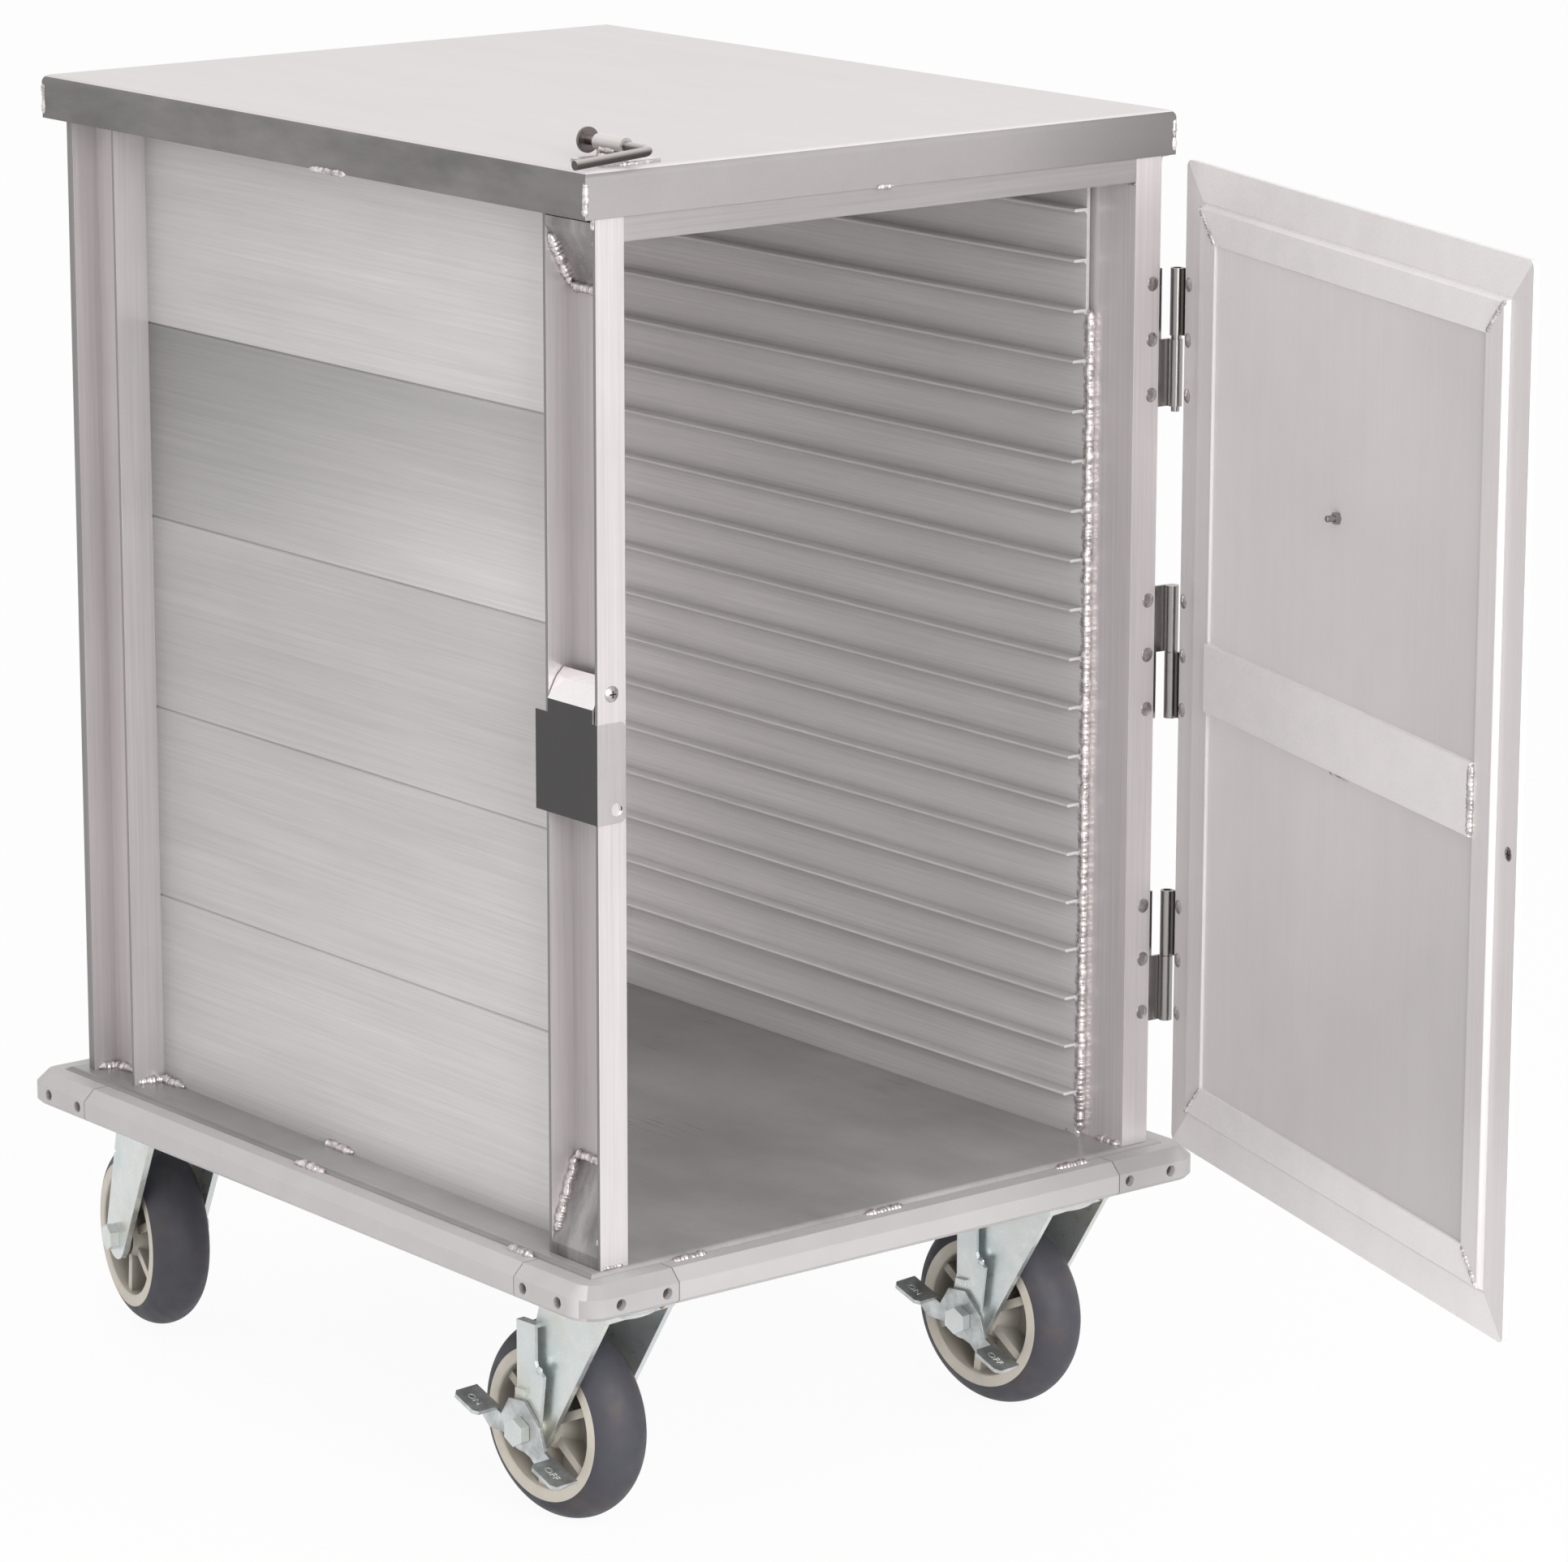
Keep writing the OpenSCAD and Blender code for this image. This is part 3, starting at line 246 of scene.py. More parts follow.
    def bump(self, value, depth, strength=0.5, soften=0.0):
        """Relief from a value, over edges rounded by a radius if soften is given."""
        b = self.nt.nodes.new("ShaderNodeBump")
        b.inputs["Strength"].default_value = strength
        b.inputs["Distance"].default_value = depth
        self.link(value, b.inputs["Height"])
        if soften:
            v = self.nt.nodes.new("ShaderNodeBevel")
            v.samples = 4
            v.inputs["Radius"].default_value = soften
            self.link(v.outputs[0], b.inputs["Normal"])
        self.link(b.outputs[0], self.p.inputs["Normal"])
        return self


def mill(name, colour, along, rough, streak, cloud, soften=0.0006, grain=520, metal=0.40):
    """Metal brushed or extruded along an axis. Streak and cloud are how much its lines and
    patches darken it, grain how fine the lines are, soften the radius of its edges."""
    m = Mat(name, colour, metal)
    fine = [0.012 if k == along else 1.0 for k in (X, Y, Z)]
    wide = [0.10 if k == along else 1.0 for k in (X, Y, Z)]
    lines = m.noise(grain, fine, 4.0, 0.6)
    bands = m.noise(38, wide, 3.0, 0.5)
    blot = m.noise(5.5, (1, 1, 1), 4.0, 0.6)
    m.shade(m.span(lines, 0.3, 0.7, 1 - streak, 1 + 0.2 * streak))
    m.shade(m.span(bands, 0.3, 0.7, 1 - streak * 0.6, 1.0))
    m.shade(m.span(blot, 0.3, 0.7, 1 - cloud, 1.0))
    m.rough(m.math("ADD", m.math("MULTIPLY", lines, 0.5), m.math("MULTIPLY", blot, 0.5)), *rough)
    m.bump(lines, 0.00004, 0.35, soften)
    return m


def roof_sheet():
    """Pale top; painted shade darkens the rim at the sides, which is smeared, and darkens the front rim,
    more towards the right.
    """
    m = mill("roof_sheet", "e6e0e0", Y, (0.34, 0.46), 0.04, 0.05)
    # Painted shade: the side rim darkened, with smears over it
    side = m.faces(X, 0)
    m.where(side, 0.27)
    smear = m.span(m.noise(9, (1, 1, 3), 4.0, 0.6), 0.3, 0.7, 0.72, 1.22)
    m.shade(m.only(smear, side))
    # Painted shade on the front rim, growing towards the right
    front = m.faces(Y, -1)
    m.where(front, 0.47)
    m.fade(X, 0.10, 0.275, 1.0, 0.52, front)
    return m


def post_extrusion():
    """Painted light and shade by facing: front and left faces darker, the rear posts' left faces lighter,
    the left posts' outer edges dark, and the right posts' left and front faces lighter."""
    m = mill("post_extrusion", "e0dadb", Z, (0.26, 0.40), 0.10, 0.07)
    # Painted light and shade, set by which way each face looks and where it stands
    m.where(m.faces(Y, -1), 0.88)
    m.where(m.faces(X, -1), 0.86)
    m.fade(Y, 0.24, 0.26, 1.0, 1.16, m.faces(X, -1))
    m.fade(X, -0.2635, -0.2625, 0.40, 1.0, m.faces(X, -1))
    m.fade(X, 0.20, 0.21, 1.0, 1.28, m.faces(X, -1))
    m.fade(X, 0.20, 0.21, 1.0, 1.14, m.faces(Y, -1))
    return m


def wall_planks():
    """Each plank is its own extrusion. The fourth from below is darker outside than the rest; painted light
    and shade lie over all of them.
    """
    foot, height, fourth = 0.2254, 0.1524, 3.0
    m = mill("wall_planks", "e0dddd", Y, (0.36, 0.50), 0.12, 0.05, metal=0.12)
    number = m.math("FLOOR", m.math("DIVIDE", m.math("SUBTRACT", m.axis(Z), foot), height), 0.0)
    dark = m.near(number, fourth, 0.4)
    outside = m.math("GREATER_THAN", m.math("MULTIPLY", m.axis(X), m.facing(X)), 0.0)
    m.fade(Z, 0.687, 0.834, 1.02, 0.66, m.math("MULTIPLY", dark, outside))
    m.fade(Y, -0.28, 0.26, 1.28, 0.84, m.math("MULTIPLY", dark, outside))
    # Painted light and shade: outer faces darker than inner ones and lighter towards the front; inner faces
    # lighter to the rear and low down
    m.where(outside, 0.84)
    m.fade(Y, -0.28, 0.28, 1.20, 0.94, outside)
    inside = m.math("SUBTRACT", 1.0, outside)
    m.fade(Y, -0.26, 0.26, 1.0, 1.26, inside)
    m.fade(Z, 0.30, 0.80, 1.10, 0.92, inside)
    # Painted shade in the recesses under the ledges
    m.paint_recess_shade(0.03, 0.66)
    # Painted light outside: lighter low down, and on the top plank
    m.fade(Z, 0.25, 0.60, 1.10, 0.86, outside)
    m.fade(Z, 0.83, 0.84, 1.0, 1.20, outside)
    return m


def rear_sheet():
    m = mill("rear_sheet", "e4dfe0", Z, (0.34, 0.46), 0.06, 0.06, metal=0.10)
    # Painted shade on the faces that look left
    m.where(m.faces(X, -1), 0.36)
    return m


def deck_sheet():
    """Cloudy sheet; painted shade darkens its left fold, and its top towards the rear."""
    m = mill("deck_sheet", "bdbaba", Y, (0.26, 0.36), 0.10, 0.10, metal=0.15)
    # Painted shade on the left fold and on the top towards the rear
    m.where(m.faces(X, -1, 0.3), 0.68)
    m.fade(Y, -0.26, 0.28, 1.04, 0.80, m.faces(Z, 1))
    m.mottle(0.74, 1.12, 5, (1, 0.6, 1), 5.0, 0.6, a=0.36, b=0.64)
    return m


def weldments():
    """Darker below the deck, in its shade."""
    m = mill("weldments", "b4afb0", X, (0.30, 0.44), 0.10, 0.16)
    m.fade(Z, 0.30, 0.60, 0.56, 1.0)
    return m


def gusset_plate():
    m = mill("gusset_plate", "a29d9d", Z, (0.20, 0.32), 0.12, 0.20, metal=0.75)
    m.mottle(0.55, 1.2, 34, (1, 1, 0.35), a=0.34, b=0.62)
    return m


def door_stiles():
    """Painted shade on the edges that look towards the hinges."""
    m = mill("door_stiles", "ebe6e6", Z, (0.28, 0.42), 0.06, 0.05, metal=0.15)
    across = m.math("ADD", m.math("MULTIPLY", m.facing(X), math.cos(DOOR_OPEN)),
                    m.math("MULTIPLY", m.facing(Y), math.sin(DOOR_OPEN)))
    # Painted shade where the surface looks towards the hinges
    m.where(m.math("GREATER_THAN", across, 0.5), 0.42)
    return m


def door_skin():
    """Painted shade: darker at its foot and towards the free stile, lighter towards the hinge."""
    m = mill("door_skin", "f2eded", Z, (0.36, 0.48), 0.03, 0.08, metal=0.10)
    # Painted light and shade by height and across the door
    m.fade(Z, 0.28, 0.50, 0.88, 1.0)
    m.fade(Y, -0.82, -0.40, 0.80, 1.12)
    return m


def strike_stainless():
    """Polished; painted reflections darken its left side and lighten its hood."""
    m = mill("strike_stainless", "dedada", Z, (0.16, 0.26), 0.06, 0.10, 0.0004, 900, 0.9)
    m.where(m.faces(X, -1, 0.95), 0.11)
    m.where(m.faces(Z, 1, 0.3), 1.32)
    return m


def rod_steel():
    m = mill("rod_steel", "bdb5b2", Y, (0.14, 0.24), 0.06, 0.12, 0.0003, 900, 0.9)
    # Painted reflection: dark where the surface faces sideways or down, light on top
    m.shade(m.span(m.facing(Z), 0.15, 0.80, 0.22, 1.25))
    return m


def latch_tube():
    m = mill("latch_tube", "e6e0de", Y, (0.20, 0.32), 0.08, 0.12, 0.0004, 700, 0.5)
    # Painted light and shade: lighter on top, darker underneath
    m.shade(m.span(m.facing(Z), -0.2, 0.7, 0.55, 1.1))
    return m


def rivet_steel():
    m = mill("rivet_steel", "cfcac8", Z, (0.22, 0.34), 0.10, 0.16, 0.0004, 900, 0.9)
    return m.mottle(0.62, 1.05, 380)


def weld_bead():
    m = Mat("weld_bead", "dcd6d4", 0.75, 0.26)
    relief = m.noise(520)
    m.mottle(0.55, 1.12, 210, a=0.34, b=0.62)
    m.bump(relief, 0.0004, 0.6)
    return m


def zinc_plate():
    """Bright zinc with yellowish and bluish patches."""
    m = Mat("zinc_plate", "dde1e0", 0.8, 0.3)
    m.tint(m.span(m.noise(14), 0.50, 0.70, 0.0, 0.45), "d2ccb2")
    m.tint(m.span(m.noise(17, (1, 1, 1), 2.0), 0.52, 0.72, 0.0, 0.4), "bccacd")
    m.mottle(0.95, 1.0, 420)
    m.rough(m.noise(120), 0.24, 0.40)
    m.bump(m.noise(700), 0.00004, 0.4, 0.0006)
    return m


def hub_moulding():
    m = Mat("hub_moulding", "dfd8cb", 0.0, 0.42)
    m.mottle(0.90, 1.0, 60)
    # Painted shade in the hub's recesses
    m.paint_recess_shade(0.035, 0.42)
    m.rough(m.noise(300), 0.34, 0.50)
    m.bump(m.noise(1500), 0.00005, 0.3, 0.0008)
    return m


def tread_rubber():
    """Blue-grey rubber with brownish scuffs."""
    m = Mat("tread_rubber", "46464e", 0.0, 0.6)
    m.tint(m.span(m.noise(30, (1, 1, 1), 4.0), 0.50, 0.74, 0.0, 0.6), "5c504b")
    m.mottle(0.82, 1.0, 14)
    m.rough(m.noise(90), 0.52, 0.70)
    m.bump(m.noise(1200), 0.00006, 0.35)
    return m


def bumper_vinyl():
    m = Mat("bumper_vinyl", "cac7c7", 0.0, 0.40)
    m.mottle(0.95, 1.0, 24)
    # Painted shade on the faces that look forward
    m.where(m.faces(Y, -1, 0.5), 0.78)
    m.rough(m.noise(240), 0.34, 0.50)
    m.bump(m.noise(1600), 0.00004, 0.3, 0.0008)
    return m


def bumper_corner():
    """Like the rails, with painted shade on its forward faces, and a dark line just inside each end, where
    it meets a rail.
    """
    m = Mat("bumper_corner", "c8c5c5", 0.0, 0.44)
    m.mottle(0.94, 1.0, 30)
    # Painted shade on the faces that look forward
    m.where(m.faces(Y, -1, 0.5), 0.70)
    inner_ends = highest("bumper_corner_fl")
    for k in (X, Y):
        joint = 0.0002 - inner_ends[k] * MM
        m.where(m.near(m.math("ABSOLUTE", m.axis(k), 0.0), joint, 0.0005), 0.22)
    m.rough(m.noise(240), 0.38, 0.54)
    m.bump(m.noise(1600), 0.00005, 0.3, 0.0008)
    return m


def pedal_steel():
    m = Mat("pedal_steel", "d2d6d6", 0.8, 0.34)
    m.mottle(0.86, 1.0, 300)
    # Painted shade on the upward faces
    m.where(m.faces(Z, 1, 0.5), 0.66)
    m.mottle(0.62, 1.15, 60)
    m.bump(m.noise(700), 0.00004, 0.4, 0.0006)
    return m


def dark_rubber():
    m = Mat("dark_rubber", "2d2d2f", 0.0, 0.55).mottle(0.85, 1.0, 90)
    return m.bump(m.noise(1400), 0.00005, 0.3)


def brass_finish():
    m = Mat("brass", "b98a4a", 1.0, 0.28).mottle(0.80, 1.0, 300)
    return m.bump(m.noise(900), 0.00003, 0.3)


def each_caster(prefix):
    return [prefix + k for k in CASTERS]


def dress(mat, *names):
    for n in names:
        o = NODE[n]
        o.data.materials.clear()
        o.data.materials.append(mat.m)
        for poly in o.data.polygons:
            poly.material_index = 0


weld = weld_bead()
zinc = zinc_plate()
rubber = dark_rubber()
stainless = mill("stainless", "a5a19f", Z, (0.16, 0.26), 0.08, 0.10, 0.0004, 900, 1.0)
dark_steel = mill("dark_steel", "857e7c", Y, (0.22, 0.34), 0.10, 0.16, 0.0003, 900, 0.9)

dress(roof_sheet(), "roof_pan")
dress(post_extrusion(), "post_front_left", "post_front_right", "post_rear_left", "post_rear_right")
# Painted shade: the header is the door rails' aluminium, given a darker colour
dress(mill("front_header", "aaa5a6", X, (0.28, 0.42), 0.10, 0.07), "front_header")
dress(wall_planks(), "side_wall_left", "side_wall_right")
dress(rear_sheet(), "rear_panel")
dress(weldments(), "base_frame")
dress(deck_sheet(), "deck")
dress(bumper_vinyl(), "bumper_rails")
dress(bumper_corner(), *each_caster("bumper_corner_"))
dress(dark_steel, "bumper_screws", "latch_disc")
dress(zinc, "caster_plates", "caster_bolts", *each_caster("fork_"), *each_caster("axle_"),
      "brake_strap_fl", "brake_strap_fr")
dress(pedal_steel(), "brake_pedal_fl", "brake_pedal_fr")
dress(hub_moulding(), *each_caster("hub_"))
dress(tread_rubber(), *each_caster("tread_"))
dress(stainless, "hinge_post_leaves", "hinge_door_leaves", "door_bolt", "door_pull")
dress(rivet_steel(), "hinge_post_rivets", "hinge_door_rivets", "strike_screw")
dress(strike_stainless(), "strike_plate")
dress(rod_steel(), "latch_rod")
dress(latch_tube(), "rod_latch_mount")
dress(door_stiles(), "door_stile_hinge", "door_stile_free")
dress(mill("bar_across", "fdf9f9", X, (0.30, 0.44), 0.06, 0.05, metal=0.10),
      "door_rail_top", "door_rail_bottom", "door_middle_rail")
dress(door_skin(), "door_skin_panel")
dress(rubber, "door_button")


# ---------- pieces ----------

def turned(x, y, angle):
    """A point turned about the vertical."""
    return x * math.cos(angle) - y * math.sin(angle), x * math.sin(angle) + y * math.cos(angle)


def door_place(a, b, c):
    """Row-frame point of a door point: a from the hinge edge, b up, c towards the cabinet."""
    q = Vector((DOOR_W / 2 - a, FRONT - DOOR_GAP + c, DOOR_Z + b)) - PIN
    return PIN + Vector((*turned(q.x, q.y, DOOR_OPEN), q.z))


def caster_place(k, x, y, z):
    """Row-frame point of a point in a caster's own directions, from its swivel axis."""
    cx, cy, a = CASTERS[k]
    dx, dy = turned(x, y, a)
    return Vector((cx + dx, cy + dy, z))


class Heap:
    """Gathers small meshes of one body and material into one piece. Its beads draw their
    wander from seeds counted up from the first."""

    def __init__(self, name, body, mat, smooth=True, first_seed=1):
        self.name, self.body, self.mat, self.smooth = name, body, mat, smooth
        self.seeds = itertools.count(first_seed)
        self.v, self.f = [], []

    def add(self, verts, faces):
        n = len(self.v)
        self.v += [tuple(Vector(p) * MM) for p in verts]
        self.f += [tuple(i + n for i in f) for f in faces]

    def tube(self, rings):
        """Skin over rings of points, closed at both ends."""
        m = len(rings[0])
        last = (len(rings) - 1) * m
        skin = [(i + j, i + (j + 1) % m, i + m + (j + 1) % m, i + m + j)
                for i in range(0, last, m) for j in range(m)]
        caps = [tuple(range(m - 1, -1, -1)), tuple(range(last, last + m))]
        self.add([p for ring in rings for p in ring], skin + caps)

    def bead(self, pts, r, pitch=2.4, rough=0.25, lump=0.22, seed=None):
        """Weld bead: a rippled, slightly wandering tube of radius r along pts. Its ripples are
        pitch long and lump deep, and rough is how far its radius strays."""
        step, sides, taper, drift = 0.7, 10, 1.3, 0.22
        seed = next(self.seeds) if seed is None else seed
        rnd = random.Random(seed)
        pts = [Vector(p) for p in pts]
        total = sum((b - a).length for a, b in zip(pts, pts[1:]))
        n = max(6, int(total / step))
        turns = [2 * math.pi * j / sides for j in range(sides)]
        rings = []
        seg, done = 0, 0.0
        for i in range(n + 1):
            s = total * i / n
            while seg < len(pts) - 2 and s > done + (pts[seg + 1] - pts[seg]).length:
                done += (pts[seg + 1] - pts[seg]).length
                seg += 1
            d = (pts[seg + 1] - pts[seg]).normalized()
            side = d.orthogonal().normalized()
            up = d.cross(side)
            ripple = abs(math.sin(math.pi * s / pitch))
            stray = noise.noise(Vector((s * 0.21, seed, 0))) + 0.2 * rnd.uniform(-1, 1)
            radius = r * (1 - lump + lump * ripple + rough * stray)
            end = min(s, total - s) / (taper * r)
            radius *= math.sqrt(max(0.03, min(1.0, end)))
            sway = noise.noise(Vector((s * 0.12, 3, seed)))
            heave = noise.noise(Vector((s * 0.12, 7, seed)))
            c = pts[seg] + d * (s - done) + drift * r * (side * sway + up * heave)
            rings.append([c + radius * (side * math.cos(t) + up * math.sin(t)) for t in turns])
        self.tube(rings)

    def lathe(self, at, along, profile, sides=20):
        """Turned form: profile of (distance along, radius) pairs from a point in a direction."""
        at, along = Vector(at), Vector(along).normalized()
        side = along.orthogonal().normalized()
        up = along.cross(side)
        turns = [2 * math.pi * j / sides for j in range(sides)]
        self.tube([[at + along * s + r * (side * math.cos(t) + up * math.sin(t)) for t in turns]
                   for s, r in profile])

    def slab(self, at, u, v, n, outline, t):
        """Flat outline in directions u and v, raised by t along n."""
        at, u, v, n = map(Vector, (at, u, v, n))
        foot = [at + u * a + v * b for a, b in outline]
        m = len(outline)
        caps = [tuple(range(m - 1, -1, -1)), tuple(range(m, 2 * m))]
        self.add(foot + [p + n * t for p in foot],
                 caps + [(i, (i + 1) % m, m + (i + 1) % m, m + i) for i in range(m)])

    def done(self):
        me = bpy.data.meshes.new(self.name)
        me.from_pydata(self.v, [], self.f)
        me.validate()
        bm = bmesh.new()
        bm.from_mesh(me)
        bmesh.ops.recalc_face_normals(bm, faces=bm.faces)
        bm.to_mesh(me)
        bm.free()
        for p in me.polygons:
            p.use_smooth = self.smooth
        o = bpy.data.objects.new(self.name, me)
        bpy.context.scene.collection.objects.link(o)
        o.data.materials.append(self.mat.m)
        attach(o, self.body)
        return o


# Gussets of the front posts: heights of the outer and inner end, thickness upwards, and how
# much further the outer end's upper corner reaches
GUSSETS = ((FLOOR, FLOOR + 63, 9.1, 2.2), (RIM - 3, RIM - 48, -6.8, -1.4))


def gusset_plates():
    """Plates across the channels of the front posts; the photograph shows none at the rear."""
    clear, depth, width, wall = 0.05, 22.0, 54.9, 3.0
    g = Heap("gusset_plates", "cart", gusset_plate(), False)
    for sx in (-1, 1):
        for outer, inner, up, corner in GUSSETS:
            outline = [(clear, outer), (depth - clear, inner), (depth - clear, inner + up),
                       (0.6, outer + up + corner), (clear, outer + up)]
            g.slab((sx * HALF_W, FRONT + wall + clear, 0), (-sx, 0, 0), (0, 0, 1), (0, 1, 0), outline, width)
    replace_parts(g.done(), "gussets")


# Tack welds of the cabinet: start, end and radius
TACKS = (
    # under the roof's rim, left and front
    ((-275, -15, RIM + 0.5), (-275, -60, RIM + 0.5), 2.6),
    ((-14, -349, RIM + 0.5), (2, -349, RIM + 0.5), 2.2),
    # at the left wall's foot, and between the deck's left fold and the bumper
    ((-INNER - 0.8, 40, FLOOR + 1.4), (-INNER - 0.8, 4, FLOOR + 1.4), 4.4),
    ((-277.4, 22, FLOOR - 2), (-277.4, -16, FLOOR - 2), 4.0),
    ((-277.4, -252, FLOOR - 2), (-277.4, -282, FLOOR - 2), 4.0),
    # between the deck's front fold and the bumper
    ((-203, -351.2, FLOOR - 3.6), (-171, -351.2, FLOOR - 3.6), 3.9),
    ((-22, -351.2, FLOOR - 3.6), (16, -351.2, FLOOR - 3.6), 3.9),
    ((166, -351.2, FLOOR - 3.6), (200, -351.2, FLOOR - 3.6), 3.9),
    # at the foot of the right wall's front edge and of the front left post
    ((INNER + 0.4, -300, FLOOR + 1), (INNER + 0.4, -284, FLOOR + 1), 3.8),
    ((-262, -344.9, FLOOR + 1), (-243, -344.9, FLOOR + 1), 1.8),
    # at the header's lower corners
    ((-INNER - 3.9, -346, HEADER - 1.4), (-INNER - 3.9, -330, HEADER - 1.4), 1.8),
    ((INNER + 3.9, -346, HEADER - 1.4), (INNER + 3.9, -330, HEADER - 1.4), 1.8),
)


def gusset_welds(w, sx):
    """Beads along both upright edges of each gusset and across its inner end."""
    for outer, inner, up, _ in GUSSETS:
        face = 1 if up > 0 else -1
        for y, r in ((5.0, 2.7), (55.6, 3.9)):
            w.bead([(sx * (HALF_W - 2.2), FRONT + y, outer + up + face * 6.5),
                    (sx * (HALF_W - 20.6), FRONT + y, inner + up - face * 0.5)], r, 3.6, 0.35, 0.16)
        b = Vector((sx * (HALF_W - 20.2), FRONT + 6, inner + up + face * 0.5))
        w.bead([b, b + Vector((0, 49, 0))], 3.6, 3.6, 0.4, 0.16)


def cabinet_welds():
    w = Heap("welds_cabinet", "cart", weld)
    for sx in (-1, 1):
        # the corners of the roof's rim
        for sy in (-1, 1):
            w.bead([(sx * 273.6, sy * 347.4, RIM + 1.8), (sx * 273.6, sy * 347.4, ROOF - 6)],
                   2.6, 3.0, 0.3, 0.12)
        gusset_welds(w, sx)
        # the rear posts' feet, inside the channel and at the wall
        w.bead([(sx * 261.5, 325, FLOOR + 1.2), (sx * 246, 322, FLOOR + 1.5), (sx * 241.8, 300, FLOOR + 1.5),
                (sx * 242, 280, FLOOR + 1.2)], 4.2, 4.0, 0.45, 0.16)
        w.bead([(sx * 262.5, 272, FLOOR + 1), (sx * 250, 266.4, FLOOR + 1.6), (sx * 238, 262.8, FLOOR + 2),
                (sx * 237.4, 236, FLOOR + 1.2)], 4.4, 4.0, 0.45, 0.16)
        # the foot of the front posts, behind and inside
        w.bead([(sx * 262, FRONT + 60.4, FLOOR + 1), (sx * 242, FRONT + 60.4, FLOOR + 1)],
               3.2, 3.6, 0.4, 0.16)
        w.bead([(sx * (INNER + 2.4), FRONT + 4, FLOOR + 1), (sx * (INNER + 2.4), FRONT + 30, FLOOR + 1)],
               3.0, 3.6, 0.4, 0.16)
        # under the rim's front corners
        w.bead([(sx * 272.4, FRONT - 1.4, RIM + 1.9), (sx * 264.8, FRONT + 1.4, RIM + 0.2),
                (sx * 262.8, FRONT + 3.4, RIM - 9)], 2.0, 3.4, 0.4, 0.16)
    # the walls' front edges against the front posts, up to where the photograph's long bead ends
    edge, top = -299.6, 870
    for sx in (-1, 1):
        w.bead([(sx * (INNER + 0.4), edge, FLOOR + 2), (sx * (INNER + 0.4), edge, top)],
               4.4, 4.2, 0.26, 0.10, seed=40 + sx)
    for start, end, r in TACKS:
        w.bead([start, end], r, 3.4, 0.4, 0.3)
    w.done()


def door_welds():
    """The mitres, from their outer to their inner end, the middle rail's ends and a tack under it."""
    w = Heap("welds_door", "door", weld, first_seed=39)
    near, far = 31, 56
    for a0, a1 in ((near, far), (DOOR_W - near, DOOR_W - far)):
        for b0, b1 in ((near, far), (DOOR_H - near, DOOR_H - far)):
            w.bead([door_place(a0, b0, 4.0), door_place(a1, b1, 4.0)], 2.2, 3.0, 0.3)
    middle, half, band = 376.6, 26.2, 58
    low, top = middle - half, middle + half
    w.bead([door_place(DOOR_W - band, low, 5.4), door_place(DOOR_W - band, top, 5.4)], 3.2, 3.2, 0.3)
    w.bead([door_place(band, low + 4, 5.0), door_place(band, top - 4, 5.0)], 1.6, 3.0, 0.3)
    w.bead([door_place(258, low - 0.5, 3.4), door_place(290, low - 0.5, 3.4)], 2.4, 3.4, 0.4)
    w.done()


def latch_welds():
    """Rough welds along the rod latch's tube and round its foot."""
    w = Heap("welds_latch", "cart", weld, first_seed=52)
    middle = mm(JOINT["latch_turn"]["pos_m"])[X]
    for sx in (-1, 1):
        w.bead([(middle + sx * 5, -325, ROOF + 3.6), (middle + sx * 5, -301, ROOF + 3.6)],
               2.6, 3.4, 0.4, seed=80 + sx)
        w.bead([(middle + sx * 5.4, -322, ROOF + 8.4), (middle + sx * 5.4, -304, ROOF + 8.4)],
               1.8, 3.4, 0.4, seed=84 + sx)
    for p, q in (((-249, -335), (-249, -312)), ((-236, -336), (-206, -336)), ((-199, -330), (-199, -304))):
        w.bead([(*p, ROOF + 0.5), (*q, ROOF + 0.5)], 1.8, 3.4, 0.4)
    w.done()


def screw_crosses():
    """Dark crosses on the strike plate's and the door's cross-head screws: painted shade standing in for
    their recesses.
    """
    a, b, depth = 0.5, 2.6, 0.24
    cross = [(-a, -a), (-a, -b), (a, -b), (a, -a), (b, -a), (b, a), (a, a), (a, b), (-a, b), (-a, a),
             (-b, a), (-b, -a)]
    dark = Mat("dark_recess", "2a2827", 0.6, 0.5).mottle(0.8, 1.0, 700)
    c = Heap("strike_screw_cross", "cart", dark, False)
    c.slab((-251.5, FRONT - 1.62, 649.6), (1, 0, 0), (0, 0, 1), (0, -1, 0), cross, depth)
    c.done()
    c = Heap("door_screw_cross", "door", dark, False)
    origin = door_place(0, 0, 0)
    c.slab(door_place(DOOR_W - 12.1, 348.2, 0.32), door_place(1, 0, 0) - origin, (0, 0, 1),
           door_place(0, 0, 1) - origin, cross, depth)
    c.done()


def grease_nipples():
    """One in front of each swivel."""
    brass = brass_finish()
    profile = [(0, 3.4), (3.4, 3.4), (3.6, 2.1), (5.6, 2.0), (6.4, 3.0), (7.6, 3.2), (8.8, 2.4), (9.4, 1.0)]
    for k in CASTERS:
        g = Heap("grease_nipple_" + k, "cart", brass)
        at = caster_place(k, 4, -44, 188.2)
        g.lathe(at, caster_place(k, 4.6, -45, 187.7) - at, profile)
        g.done()


def hub_seals():
    """Seal and bearing collar on both sides of each hub."""
    profile = [(0, 16.8), (0.8, 16.9), (1.6, 16.3), (2.2, 15.0)]
    for k in CASTERS:
        s = Heap("hub_seal_" + k, "wheel_" + k, rubber)
        for sx in (-1, 1):
            at = caster_place(k, sx * 25.2, TRAIL, WHEEL_R)
            s.lathe(at, caster_place(k, sx * 26.2, TRAIL, WHEEL_R) - at, profile, 32)
        s.done()


